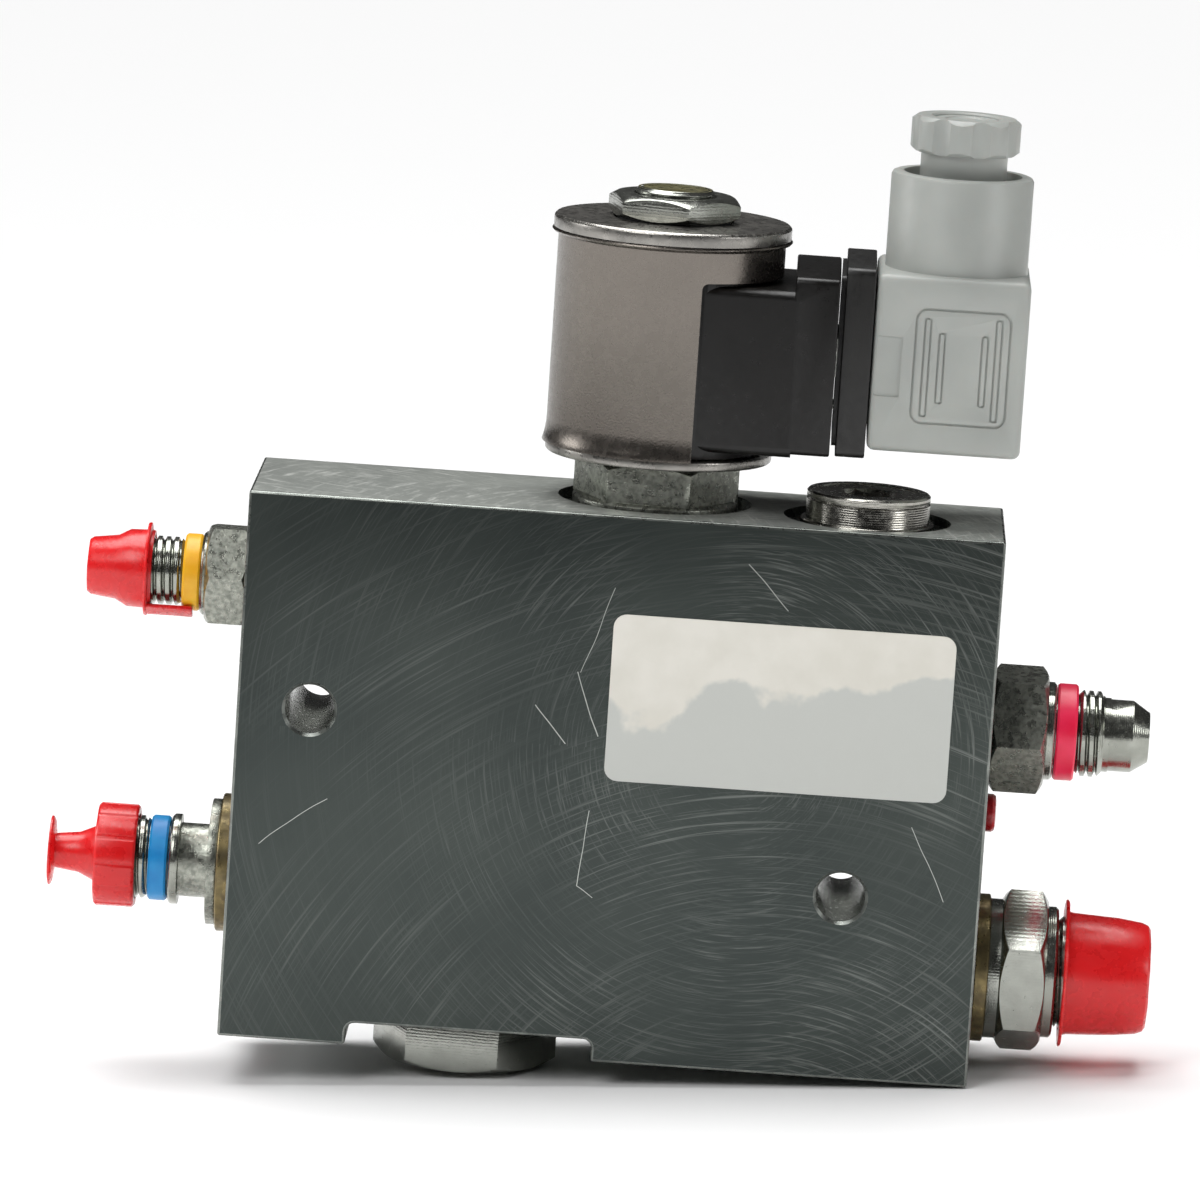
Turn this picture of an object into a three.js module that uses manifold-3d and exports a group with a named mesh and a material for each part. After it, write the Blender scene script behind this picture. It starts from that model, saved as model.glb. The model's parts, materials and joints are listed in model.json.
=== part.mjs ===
// Solenoid directional valve on a drilled steel manifold block.
// Millimetres, +Z up. The origin is the centre of the rear mounting face, +X runs along the block
// to the outlet side and the front face, with the mounting holes and the label, looks along -Y.
import * as THREE from "three";
import { mergeVertices } from "three/addons/utils/BufferGeometryUtils.js";
import Module from "manifold-3d";

// ---------------------------------------------------------------- driving sizes
const BLOCK = { length: 125, depth: 38, height: 92, edge: 0.5 };
const MOUNT_HOLE = {
  radius: 4.1, chamfer: 0.4, leftInset: 12.1, leftDrop: 35.9, rightInset: 23.1, rightRise: 30.7,
};
const SLOT = { leftInset: 21.3, width: 41, depth: 3.7 };
const LABEL = { width: 56.7, height: 28, corner: 2, thickness: 0.25, leftOfCentre: 1.1, drop: 16.3 };

// Still pieces keep SEAT along the axis they seat on and FIT round a plug or stem. Moving pieces keep
// RUNNING round a sliding fit and TRAVEL_REST at the end of a stroke.
const SEAT = 0.1;
const FIT = 0.2;
const RUNNING = 0.1;
const TRAVEL_REST = 0.3;
const LEAD_IN = 0.6;
const BREAK_EDGE = 0.4;

const VALVE = {
  x: 4, inset: 16.6, spotRadius: 16.2, spotDepth: 2,
  hexFlats: 24, hexTurn: -5, hexTop: 7.2, footRadius: 13.8, footTop: 0.7,
  threadRadius: 9.9, threadDepth: 13, upperRadius: 8.6, upperDepth: 28,
  lowerRadius: 7.4, lowerDepth: 44, noseRadius: 6.4, noseDepth: 54, noseRoom: 4,
  spoolRadius: 3.9, crossHole: 2, spoolTop: -12.2, spoolBottom: -48, neckRadius: 2.6,
  neckTop: -20.5, neckBottom: -36.5, chamberRadius: 5, chamberFloor: -10, tubeSocketFloor: -4,
};
const CAVITY_DRILL = 3.5;
const TUBE = {
  radius: 7.95, shankRadius: 7.6, bore: 6.5, endWall: 0.4, stubRadius: 6.6, stubHeight: 5.4, bevel: 0.7,
};
const ARMATURE = {
  bottom: 1, length: 25, stroke: 2.5, pinRadius: 1.5, pocketRadius: 3.4, pocketDepth: 7, flute: 0.8,
};
const RETURN_SPRING = { radius: 2.7, wire: 0.35, turns: 6, polePocket: 7 };
const O_RING = { section: 0.85, sides: 6 };

const COIL = {
  plateLower: 1.5, plateLowerInset: 0.05, canRadius: 18.95, canWall: 1.45, canHeight: 35.7,
  footLip: 0.6, footLipHeight: 3.9, headLip: 1.1, headLipHeight: 0.9,
  plateUpper: 2.3, plateUpperLip: 0.85,
  windowEdge: 5.7, windowHeight: 29.8, mouldWall: 2.3, mouldRoom: 0.3, bobbinWall: 1, bobbinFlange: 1.5,
  windingRoom: 0.55, sealSection: 0.7, sealInset: 1.25,
};
// The neck and the head of the moulding reach out from the can.
const HEAD = {
  halfWidth: 16, neckBottom: 3.1, neckHeight: 27.7, neckReach: 2.05, bottom: 3.7, height: 29.6,
  reach: 9.45, bevel: 0.6,
};
const COIL_NUT = { flats: 20, turn: -17, height: 4, groove: 1.2, sealInset: 1.05, sealSection: 0.6 };
const PIN = { width: 6.3, thickness: 0.8, rootDepth: 3.9, reach: 12, spread: 9 };
const SCREW = {
  radius: 1.45, headRadius: 2.9, headHeight: 2.4, grip: 7, slotWidth: 0.8, slotDepth: 1, sealSection: 0.45,
  rise: 1,
};

const GASKET = {
  padThickness: 0.7, padInset: 1.6, thickness: 4.9, halfWidth: 14, height: 31.6, bottom: 3.6, hole: 10.8,
  corner: 1,
};
const HOUSING = {
  depth: 25.4, halfWidth: 14, height: 29.5, bottom: 5.1, corner: 1.2, cavityDepth: 15.6, cavityHalf: 10.9,
  towerInset: 13, towerRadius: 11.85, towerHeight: 15.9, recessRadius: 9.8, recessDepth: 3,
  gripRadius: 7.5, gripDepth: 12, passage: 4.8,
};
const TERMINAL_BLOCK = { length: 19.6, half: 10.4 };
const GLAND = {
  headRadius: 9.35, lobes: 8, turn: -96, headHeight: 6, shankRadius: 7.2, gap: 3.5, bore: 4.6,
  grommetHeight: 4.4, grommetHole: 3, washer: 0.8, washerHole: 4, discThickness: 0.8, discRadius: 5.4,
  discSink: 0.4, bevel: 0.7,
};

const CHECK = {
  rightInset: 22.96, frontInset: 15.8, spotRadius: 13.95, spotDepth: 1.5, headRadius: 10.3, headTop: 4.6,
  discThickness: 1.1, grooveWidth: 0.5, grooveDepth: 0.7, footRadius: 11.2, footTop: -0.2,
  threadRadius: 8.9, threadDepth: 13, landRadius: 7.8, landDepth: 28, noseRadius: 6.8, noseDepth: 40,
  noseRoom: 3,
  socketFlats: 8, socketDepth: 5.5, chamberRadius: 4.6, chamberTop: -9, chamberBottom: -31,
  seatRadius: 5.4, seatHole: 3, crossHole: 1.6,
};
const POPPET = {
  radius: 4.4, length: 10, noseRadius: 3.3, noseHeight: 2.4, noseBevel: 1, pocketRadius: 3.2,
  pocketFloor: -27,
};
const CHECK_SPRING = { radius: 2.5, wire: 0.35, turns: 6 };

const BOTTOM_PLUG = {
  leftInset: 40.6, hexFlats: 27, turn: 7, hexHeight: 8.3, stemRadius: 10.3, stemDepth: 11,
  cavityRadius: 8, cavityDepth: 32,
};
// The small plug closes the drilling under the upper right port and is measured down from that port.
const SIDE_PLUG = { headRadius: 3.2, headHeight: 2, stemRadius: 2.3, stemDepth: 6, belowPort: 14.6 };

// Heights of the four ports, from the top or the bottom face, and their drillings.
const PORTS = { upperLeftDrop: 17.4, lowerLeftRise: 25.7, upperRightDrop: 34.2, lowerRightRise: 16.8 };
const DRILL = { upperLeft: 2.5, lowerLeft: 3.5, upperRight: 3, lowerRight: 4, portRoom: 1.5 };

// Hose fittings, each measured outwards from the block face it screws into.
const UPPER_LEFT = {
  stemRadius: 4.75, stemDepth: 10.5, hexFlats: 15.9, hexTurn: 94, hexStart: SEAT, hexEnd: 7.3,
  shoulderRadius: 7, shoulderEnd: 8.1, neckRadius: 5, bandRadius: 6.45, bandStart: 8.2, bandEnd: 11.1,
  threadRadius: 5.7, threadEnd: 19.6, reliefRadius: 4.7, reliefEnd: 20.3, noseRadius: 4.45, noseEnd: 21.2,
  coneRadius: 2.6, coneEnd: 23.6, bore: 2.2,
};
const LOWER_LEFT = {
  stemRadius: 8.2, stemDepth: 11.5, sealRadius: 11.6, sealWidth: 2.2, collarRadius: 10.6, hexFlats: 21.6,
  hexTurn: 109, hexStart: 3.9, hexEnd: 9.4, shoulderRadius: 7.6, shoulderEnd: 10.6, neckRadius: 6.2,
  bandRadius: 7.15, bandStart: 10.9, bandEnd: 14, threadRadius: 6.95, threadEnd: 21.4, reliefRadius: 6.95,
  reliefEnd: 21.4, noseRadius: 6.95, noseEnd: 21.4, coneRadius: 6.2, coneEnd: 22, bore: 4,
};
const UPPER_RIGHT = {
  stemRadius: 6.4, stemDepth: 11.5, hexFlats: 19, hexTurn: 97.5, hexStart: SEAT, hexEnd: 9.3,
  shoulderRadius: 8.2, shoulderEnd: 10.7, neckRadius: 6.3, bandRadius: 8.1, bandStart: 10.9, bandEnd: 14.3,
  threadRadius: 7.2, threadEnd: 18.9, reliefRadius: 6.3, reliefEnd: 19.9, noseRadius: 6.1, noseEnd: 23.7,
  coneRadius: 3.95, coneEnd: 26.6, bore: 3.75,
};
const LOWER_RIGHT = {
  stemRadius: 10.3, stemDepth: 13.5, sealRadius: 12.4, sealWidth: 2.2, collarRadius: 11.7, hexFlats: 24.2,
  hexTurn: 65, hexStart: 4.3, hexEnd: 12, shoulderRadius: 11, shoulderEnd: 13.8, neckRadius: 8.7,
  threadRadius: 9.45, threadEnd: 23.6, reliefRadius: 8.5, reliefEnd: 24.4, noseRadius: 8.2, noseEnd: 25.4,
  coneRadius: 6.2, coneEnd: 27.9, bore: 5.2,
};

// Moulded dust caps: each slides over the thread of its fitting.
const CAP_WALL = 0.5;
const CAP_FIT = 0.25;
const UPPER_LEFT_CAP = {
  start: 16.3, flangeRadius: 7.8, flangeStart: 16.9, flange: 0.6, stepStart: 20.4, stepEnd: 22.4,
  tipRadius: 4.8, end: 27.1, tabAngle: 210, tabWidth: 3.6, tabThickness: 0.8, tabOffset: 7.1, tabReach: 7.8,
};
const LOWER_LEFT_CAP = {
  start: 16.2, bodyRadius: 8.75, end: 23, shoulder: 0.6, stemRadius: 4.45, tipRadius: 2.9, stemEnd: 30.3,
  discRadius: 5.9, disc: 0.7,
};
const LOWER_RIGHT_CAP = {
  start: 14.9, flangeRadius: 12.4, flange: 0.7, tipRadius: 9.35, taperEnd: 27.8, faceRadius: 8.3, end: 29.4,
};

// ---------------------------------------------------------------- finishes
const ZINC_BLOCK = { color: 0x565b58, roughness: 0.42, metalness: 0.85 };
const ZINC = { color: 0x9a9c93, roughness: 0.38, metalness: 0.9 };
const ZINC_DARK = { color: 0x6d6f6a, roughness: 0.5, metalness: 0.85 };
const TURNED_STEEL = { color: 0xb2b1aa, roughness: 0.25, metalness: 0.95 };
const COIL_STEEL = { color: 0x65615c, roughness: 0.4, metalness: 0.85 };
const SPRING_STEEL = { color: 0x8a8b88, roughness: 0.3, metalness: 0.95 };
const COPPER = { color: 0xa85b32, roughness: 0.35, metalness: 0.95 };
const TINNED = { color: 0xc4c6c4, roughness: 0.25, metalness: 0.95 };
const BONDED_SEAL = { color: 0x7d6d4c, roughness: 0.45, metalness: 0.6 };
const NITRILE = { color: 0x161616, roughness: 0.7, metalness: 0 };
const BLACK_PLASTIC = { color: 0x1d1a18, roughness: 0.42, metalness: 0 };
const GREY_PLASTIC = { color: 0xb2b6ae, roughness: 0.5, metalness: 0 };
const NATURAL_PLASTIC = { color: 0xd8d2be, roughness: 0.5, metalness: 0 };
const RED_PLASTIC = { color: 0xe22b25, roughness: 0.42, metalness: 0 };
const RED_LACQUER = { color: 0xb0282c, roughness: 0.35, metalness: 0.1 };
const YELLOW_BAND = { color: 0xf2b62c, roughness: 0.45, metalness: 0 };
const BLUE_BAND = { color: 0x1f93cf, roughness: 0.45, metalness: 0 };
const PINK_BAND = { color: 0xe22a50, roughness: 0.45, metalness: 0 };
const LABEL_STOCK = { color: 0xd3d1c9, roughness: 0.55, metalness: 0 };

// ---------------------------------------------------------------- solids
const wasm = await Module();
wasm.setup();

const FINE = 32;
const ROUND = 20;
const SMALL = 12;

/** Turns a closed three.js geometry into a solid, with its faces pointing out. */
function toSolid(geometry) {
  const bare = geometry.index ? geometry.toNonIndexed() : geometry.clone();
  bare.deleteAttribute("normal");
  bare.deleteAttribute("uv");
  const merged = mergeVertices(bare, 1e-4);
  const at = merged.getAttribute("position");
  const corner = [new THREE.Vector3(), new THREE.Vector3(), new THREE.Vector3()];
  const triangles = [];
  let volume = 0;
  for (let i = 0; i < merged.index.count; i += 3) {
    const [a, b, c] = [0, 1, 2].map((k) => merged.index.getX(i + k));
    if (a === b || b === c || c === a) continue;
    [a, b, c].forEach((v, k) => corner[k].fromBufferAttribute(at, v));
    volume += corner[0].dot(corner[1].clone().cross(corner[2]));
    triangles.push(a, b, c);
  }
  if (volume < 0) triangles.reverse();
  return new wasm.Manifold(
    new wasm.Mesh({
      numProp: 3,
      vertProperties: new Float32Array(at.array),
      triVerts: new Uint32Array(triangles),
    }),
  );
}

/** Gives a solid back as a flat-shaded geometry. */
function toGeometry(solid) {
  const mesh = solid.getMesh();
  const geometry = new THREE.BufferGeometry();
  const points = new Float32Array(mesh.numVert * 3);
  for (let v = 0; v < mesh.numVert; v += 1) {
    for (let k = 0; k < 3; k += 1) points[v * 3 + k] = mesh.vertProperties[v * mesh.numProp + k];
  }
  geometry.setAttribute("position", new THREE.BufferAttribute(points, 3));
  geometry.setIndex(new THREE.BufferAttribute(new Uint32Array(mesh.triVerts), 1));
  const flat = geometry.toNonIndexed();
  flat.computeVertexNormals();
  return flat;
}

/** Adds one named piece, with a material of its own, to a group. */
function piece(parent, name, solid, finish) {
  const mesh = new THREE.Mesh(toGeometry(solid), new THREE.MeshStandardMaterial(finish));
  mesh.name = name;
  parent.add(mesh);
  return mesh;
}

/** A solid turned round Z from (radius, height) points that close on themselves. */
function turned(profile, segments = ROUND) {
  const points = [...profile, profile[0]].map(([radius, height]) => new THREE.Vector2(radius, height));
  return toSolid(new THREE.LatheGeometry(points, segments).rotateX(Math.PI / 2));
}

/** A plain cylinder along Z between two heights. */
function rod(radius, bottom, top, segments = ROUND) {
  return turned([[0, bottom], [radius, bottom], [radius, top], [0, top]], segments);
}

/** A ring along Z between two heights. */
function ring(inner, outer, bottom, top, segments = ROUND) {
  return turned([[inner, bottom], [outer, bottom], [outer, top], [inner, top]], segments);
}

/** A ring of round section, such as an O-ring. */
function torus(radius, section, height, segments = ROUND) {
  const points = [];
  for (let i = 0; i < O_RING.sides; i += 1) {
    const angle = (i / O_RING.sides) * 2 * Math.PI;
    points.push([radius + section * Math.cos(angle), height + section * Math.sin(angle)]);
  }
  return turned(points, segments);
}

/** A box between two corners. */
function box(x0, x1, y0, y1, z0, z1) {
  const geometry = new THREE.BoxGeometry(x1 - x0, y1 - y0, z1 - z0);
  return toSolid(geometry.translate((x0 + x1) / 2, (y0 + y1) / 2, (z0 + z1) / 2));
}

/** A right prism along Z with an even number of flats, the first corner at the given angle. */
function prism(flats, count, turn, bottom, top) {
  const radius = flats / 2 / Math.cos(Math.PI / count);
  const outline = new THREE.Shape();
  for (let i = 0; i < count; i += 1) {
    const angle = ((turn + (i * 360) / count) * Math.PI) / 180;
    const point = [radius * Math.cos(angle), radius * Math.sin(angle)];
    if (i) outline.lineTo(...point);
    else outline.moveTo(...point);
  }
  outline.closePath();
  const geometry = new THREE.ExtrudeGeometry(outline, { depth: top - bottom, bevelEnabled: false });
  return toSolid(geometry.translate(0, 0, bottom));
}

/** A hexagon with its corners turned off at 30 degrees on the chosen ends. */
function hexagon(flats, turn, bottom, top, bevelBottom = true, bevelTop = true) {
  const corner = flats / 2 / Math.cos(Math.PI / 6);
  const drop = (corner - flats / 2 + 0.3) * Math.tan(Math.PI / 6);
  const face = flats / 2 - 0.3;
  const reach = corner + 0.05;
  const low = bevelBottom ? [[face, bottom], [reach, bottom + drop]] : [[reach, bottom]];
  const high = bevelTop ? [[reach, top - drop], [face, top]] : [[reach, top]];
  const turnedBar = turned([[0, bottom], ...low, ...high, [0, top]], FINE);
  return prism(flats, 6, turn, bottom, top).intersect(turnedBar);
}

/** A bar along X with a rounded rectangular section, between two heights and two ends. */
function roundedBar(x0, x1, halfWidth, z0, z1, corner) {
  const outline = new THREE.Shape();
  const steps = 3;
  const corners = [[1, 1, 0], [-1, 1, 90], [-1, -1, 180], [1, -1, 270]];
  const middle = (z0 + z1) / 2;
  const halfHeight = (z1 - z0) / 2;
  corners.forEach(([sy, sz, start], k) => {
    for (let i = 0; i <= steps; i += 1) {
      const angle = ((start + (i * 90) / steps) * Math.PI) / 180;
      const y = sy * (halfWidth - corner) + corner * Math.cos(angle);
      const z = middle + sz * (halfHeight - corner) + corner * Math.sin(angle);
      if (k || i) outline.lineTo(y, z);
      else outline.moveTo(y, z);
    }
  });
  outline.closePath();
  const geometry = new THREE.ExtrudeGeometry(outline, { depth: x1 - x0, bevelEnabled: false });
  geometry.rotateX(Math.PI / 2).rotateZ(Math.PI / 2);
  return toSolid(geometry.translate(x0, 0, 0));
}

/** Moves a solid by a vector. */
function moved(solid, x, y, z) {
  return solid.translate([x, y, z]);
}

/** Lays a solid that runs along +Z so that it runs along +X or -X. */
function along(solid, side) {
  return solid.rotate([0, 90 * side, 0]);
}

/** A compression spring standing between two heights. */
function spring(radius, wire, turns, bottom, top) {
  const stepsPerTurn = 8;
  const lower = bottom + wire + 0.05;
  const upper = top - wire - 0.05;
  const points = [];
  for (let i = 0; i <= turns * stepsPerTurn; i += 1) {
    const angle = (i / stepsPerTurn) * 2 * Math.PI;
    const height = lower + ((upper - lower) * i) / (turns * stepsPerTurn);
    points.push(new THREE.Vector3(radius * Math.cos(angle), radius * Math.sin(angle), height));
  }
  const path = new THREE.CatmullRomCurve3(points);
  const section = new THREE.Shape();
  const sides = 4;
  for (let i = 0; i < sides; i += 1) {
    const angle = (i / sides) * 2 * Math.PI;
    if (i) section.lineTo(wire * Math.cos(angle), wire * Math.sin(angle));
    else section.moveTo(wire, 0);
  }
  section.closePath();
  const options = { steps: turns * stepsPerTurn, extrudePath: path, bevelEnabled: false };
  return toSolid(new THREE.ExtrudeGeometry(section, options));
}

/** Four holes bored across a turned piece at one height. */
function crossHoles(radius, height, reach) {
  const hole = rod(radius, -reach, reach, SMALL);
  const lengthwise = moved(along(hole, 1), 0, 0, height);
  return lengthwise.add(lengthwise.rotate([0, 0, 90]));
}

/** A groove for an O-ring of the standard section, cut into a stem of the given radius. */
function ringGroove(stemRadius, height) {
  const floor = stemRadius - 2 * O_RING.section + 0.05;
  const half = O_RING.section + 0.2;
  return ring(floor, stemRadius + 1, height - half, height + half);
}

/** The O-ring that sits in ringGroove, just clear of the groove's floor and of the bore round it. */
function grooveRing(stemRadius, height) {
  return torus(stemRadius - O_RING.section + 0.1, O_RING.section, height);
}

// ---------------------------------------------------------------- layout
const left = -BLOCK.length / 2;
const right = BLOCK.length / 2;
const front = -BLOCK.depth;
const top = BLOCK.height / 2;
const bottom = -BLOCK.height / 2;
const middleY = front / 2;
const slotCeiling = bottom + SLOT.depth;
const slotLeft = left + SLOT.leftInset;
const valveY = -VALVE.inset;
const checkX = right - CHECK.rightInset;
const checkY = front + CHECK.frontInset;
const plugX = left + BOTTOM_PLUG.leftInset;
const mountHoles = [
  [left + MOUNT_HOLE.leftInset, top - MOUNT_HOLE.leftDrop],
  [right - MOUNT_HOLE.rightInset, bottom + MOUNT_HOLE.rightRise],
];

/** One port: the end face it opens in, its height, its fitting, its drilling and where that ends. */
function port(side, height, fitting, drill, to) {
  return { side, height, fitting, drill, to };
}

const ports = {
  upperLeft: port(-1, top - PORTS.upperLeftDrop, UPPER_LEFT, DRILL.upperLeft, checkX),
  lowerLeft: port(-1, bottom + PORTS.lowerLeftRise, LOWER_LEFT, DRILL.lowerLeft, plugX),
  upperRight: port(1, top - PORTS.upperRightDrop, UPPER_RIGHT, DRILL.upperRight, VALVE.x),
  lowerRight: port(1, bottom + PORTS.lowerRightRise, LOWER_RIGHT, DRILL.lowerRight, plugX),
};
const sidePlugHeight = ports.upperRight.height - SIDE_PLUG.belowPort;

// ---------------------------------------------------------------- manifold block
/** The stepped cavity of the solenoid cartridge, open at the top face. */
function valveCavity() {
  return turned([
    [0, -VALVE.noseDepth],
    [VALVE.noseRadius + FIT, -VALVE.noseDepth],
    [VALVE.noseRadius + FIT, -VALVE.lowerDepth],
    [VALVE.lowerRadius + FIT, -VALVE.lowerDepth],
    [VALVE.lowerRadius + FIT, -VALVE.upperDepth],
    [VALVE.upperRadius + FIT, -VALVE.upperDepth],
    [VALVE.upperRadius + FIT, -VALVE.threadDepth],
    [VALVE.threadRadius + FIT, -VALVE.threadDepth],
    [VALVE.threadRadius + FIT, -VALVE.spotDepth],
    [VALVE.spotRadius, -VALVE.spotDepth],
    [VALVE.spotRadius, 1],
    [0, 1],
  ]);
}

/** The stepped cavity of the check cartridge, open at the top face. */
function checkCavity() {
  return turned([
    [0, -CHECK.noseDepth],
    [CHECK.noseRadius + FIT, -CHECK.noseDepth],
    [CHECK.noseRadius + FIT, -CHECK.landDepth],
    [CHECK.landRadius + FIT, -CHECK.landDepth],
    [CHECK.landRadius + FIT, -CHECK.threadDepth],
    [CHECK.threadRadius + FIT, -CHECK.threadDepth],
    [CHECK.threadRadius + FIT, -CHECK.spotDepth],
    [CHECK.spotRadius, -CHECK.spotDepth],
    [CHECK.spotRadius, 1],
    [0, 1],
  ]);
}

/** A port for one fitting, with the drilling that leads on from it. */
function portCut({ side, height, fitting, drill, to }) {
  const face = side * right;
  const portDepth = fitting.stemDepth + DRILL.portRoom;
  const port = rod(fitting.stemRadius + FIT, -portDepth, 1);
  const lead = rod(drill, -Math.abs(to - face), 0, SMALL);
  return moved(along(port.add(lead), side), face, middleY, height);
}

/** A mounting hole right through the block, chamfered at both faces. */
function mountHole(x, z) {
  const { radius, chamfer } = MOUNT_HOLE;
  const cutter = turned([
    [0, -1],
    [radius + chamfer + 1, -1],
    [radius, chamfer],
    [radius, BLOCK.depth - chamfer],
    [radius + chamfer + 1, BLOCK.depth + 1],
    [0, BLOCK.depth + 1],
  ]);
  return moved(cutter.rotate([90, 0, 0]), x, 0, z);
}

/** The block: its outside, the slot under it and every cavity and drilling. */
function manifoldBlock() {
  const { length, height, depth, edge } = BLOCK;
  const outline = new THREE.Shape();
  const x = length / 2 - edge;
  const z = height / 2 - edge;
  outline.moveTo(-x, -z);
  outline.lineTo(x, -z);
  outline.lineTo(x, z);
  outline.lineTo(-x, z);
  outline.closePath();
  const geometry = new THREE.ExtrudeGeometry(outline, {
    depth: depth - 2 * edge,
    bevelEnabled: true,
    bevelThickness: edge,
    bevelSize: edge,
    bevelSegments: 1,
  });
  let block = toSolid(geometry.rotateX(Math.PI / 2).translate(0, -edge, 0));
  const slot = box(slotLeft, slotLeft + SLOT.width, front - 1, 1, bottom - 1, slotCeiling);
  const nose = top - VALVE.noseDepth;
  const plugPortDepth = BOTTOM_PLUG.stemDepth + DRILL.portRoom;
  const crossDrilling = rod(SIDE_PLUG.stemRadius + FIT, VALVE.x - right, 1, SMALL);
  const cuts = [
    slot,
    moved(valveCavity(), VALVE.x, valveY, top),
    moved(checkCavity(), checkX, checkY, top),
    moved(rod(CAVITY_DRILL, ports.lowerRight.height, nose + 1, SMALL), VALVE.x, middleY, 0),
    moved(rod(BOTTOM_PLUG.stemRadius + FIT, -1, plugPortDepth), plugX, middleY, slotCeiling),
    moved(rod(BOTTOM_PLUG.cavityRadius, 0, BOTTOM_PLUG.cavityDepth), plugX, middleY, slotCeiling),
    ...mountHoles.map(([hx, hz]) => mountHole(hx, hz)),
    ...Object.values(ports).map(portCut),
    moved(along(crossDrilling, 1), right, middleY, sidePlugHeight),
  ];
  for (const cut of cuts) block = block.subtract(cut);
  return block;
}

/** The blank identification label on the front face. */
function frontLabel() {
  const lower = -LABEL.height / 2;
  const plate = roundedBar(0, LABEL.thickness, LABEL.width / 2, lower, -lower, LABEL.corner);
  return plate.rotate([0, 0, -90]);
}

// ---------------------------------------------------------------- solenoid cartridge
const coilBottom = VALVE.hexTop + TRAVEL_REST;
const canBottom = coilBottom + COIL.plateLower + SEAT;
const canTop = canBottom + COIL.canHeight;
const plateBottom = canTop + SEAT;
const coilTop = plateBottom + COIL.plateUpper;
const coilBore = TUBE.radius + FIT;
const tubeTop = coilTop - TRAVEL_REST;
const tubeRoof = tubeTop - TUBE.endWall;
const armatureTop = ARMATURE.bottom + ARMATURE.length;
const poleBottom = armatureTop + ARMATURE.stroke + TRAVEL_REST;
const poleTop = tubeRoof - TRAVEL_REST;
const nutBottom = coilTop + SEAT;
const nutBore = TUBE.stubRadius + RUNNING;
const lowerSealSection = COIL.sealSection;
const lowerSealRadius = TUBE.radius + COIL.sealInset;
const nutSealRadius = TUBE.radius + COIL_NUT.sealInset;

const ringHeights = {
  upper: -VALVE.threadDepth - 2,
  middle: -VALVE.upperDepth + 3,
  lower: -VALVE.lowerDepth - 2.5,
};

/** The cartridge body: foot, hexagon and stepped stem with its cross ports, bored for the spool. */
function cartridgeBody() {
  const noseEnd = -VALVE.noseDepth + VALVE.noseRoom;
  const foot = -VALVE.spotDepth + SEAT;
  const outside = turned([
    [0, noseEnd],
    [VALVE.noseRadius - LEAD_IN, noseEnd],
    [VALVE.noseRadius, noseEnd + LEAD_IN],
    [VALVE.noseRadius, -VALVE.lowerDepth + FIT],
    [VALVE.lowerRadius, -VALVE.lowerDepth + FIT],
    [VALVE.lowerRadius, -VALVE.upperDepth + FIT],
    [VALVE.upperRadius, -VALVE.upperDepth + FIT],
    [VALVE.upperRadius, -VALVE.threadDepth + FIT],
    [VALVE.threadRadius, -VALVE.threadDepth + FIT],
    [VALVE.threadRadius, foot],
    [VALVE.footRadius, foot],
    [VALVE.footRadius, VALVE.footTop],
    [0, VALVE.footTop],
  ]);
  const hex = hexagon(VALVE.hexFlats, VALVE.hexTurn, VALVE.footTop - 0.1, VALVE.hexTop, false, true);
  const spoolBore = VALVE.spoolRadius + RUNNING;
  const inside = turned([
    [0, noseEnd - 1],
    [spoolBore, noseEnd - 1],
    [spoolBore, VALVE.chamberFloor],
    [VALVE.chamberRadius, VALVE.chamberFloor],
    [VALVE.chamberRadius, VALVE.tubeSocketFloor + 1],
    [0, VALVE.tubeSocketFloor + 1],
  ], SMALL).add(rod(TUBE.shankRadius + FIT, VALVE.tubeSocketFloor, VALVE.hexTop + 1));
  const sealFloor = coilBottom - 2 * lowerSealSection - 0.1;
  const sealGroove = ring(TUBE.radius + 0.4, lowerSealRadius + 1, sealFloor, VALVE.hexTop + 1);
  return outside
    .add(hex)
    .subtract(inside)
    .subtract(sealGroove)
    .subtract(crossHoles(VALVE.crossHole, -PORTS.upperLeftDrop, VALVE.upperRadius + 1))
    .subtract(crossHoles(VALVE.crossHole, -PORTS.upperRightDrop, VALVE.lowerRadius + 1))
    .subtract(ringGroove(VALVE.upperRadius, ringHeights.upper))
    .subtract(ringGroove(VALVE.upperRadius, ringHeights.middle))
    .subtract(ringGroove(VALVE.noseRadius, ringHeights.lower));
}

/** The core tube: a closed sleeve with a threaded stub for the coil nut. */
function coreTube() {
  const shankEnd = VALVE.tubeSocketFloor + TRAVEL_REST;
  const stubTop = tubeTop + TUBE.stubHeight;
  return turned([
    [TUBE.bore, shankEnd],
    [TUBE.shankRadius, shankEnd],
    [TUBE.shankRadius, VALVE.hexTop + SEAT],
    [TUBE.radius, VALVE.hexTop + SEAT],
    [TUBE.radius, tubeTop],
    [TUBE.stubRadius, tubeTop],
    [TUBE.stubRadius, stubTop - TUBE.bevel],
    [TUBE.stubRadius - TUBE.bevel, stubTop],
    [0, stubTop],
    [0, tubeRoof],
    [TUBE.bore, tubeRoof],
  ]);
}

/** The fixed pole at the head of the tube, pocketed for the return spring. */
function polePiece() {
  const radius = TUBE.bore - FIT;
  const pocketTop = poleBottom + RETURN_SPRING.polePocket;
  return turned([
    [ARMATURE.pocketRadius, poleBottom],
    [radius, poleBottom],
    [radius, poleTop],
    [0, poleTop],
    [0, pocketTop],
    [ARMATURE.pocketRadius, pocketTop],
  ], SMALL);
}

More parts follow.
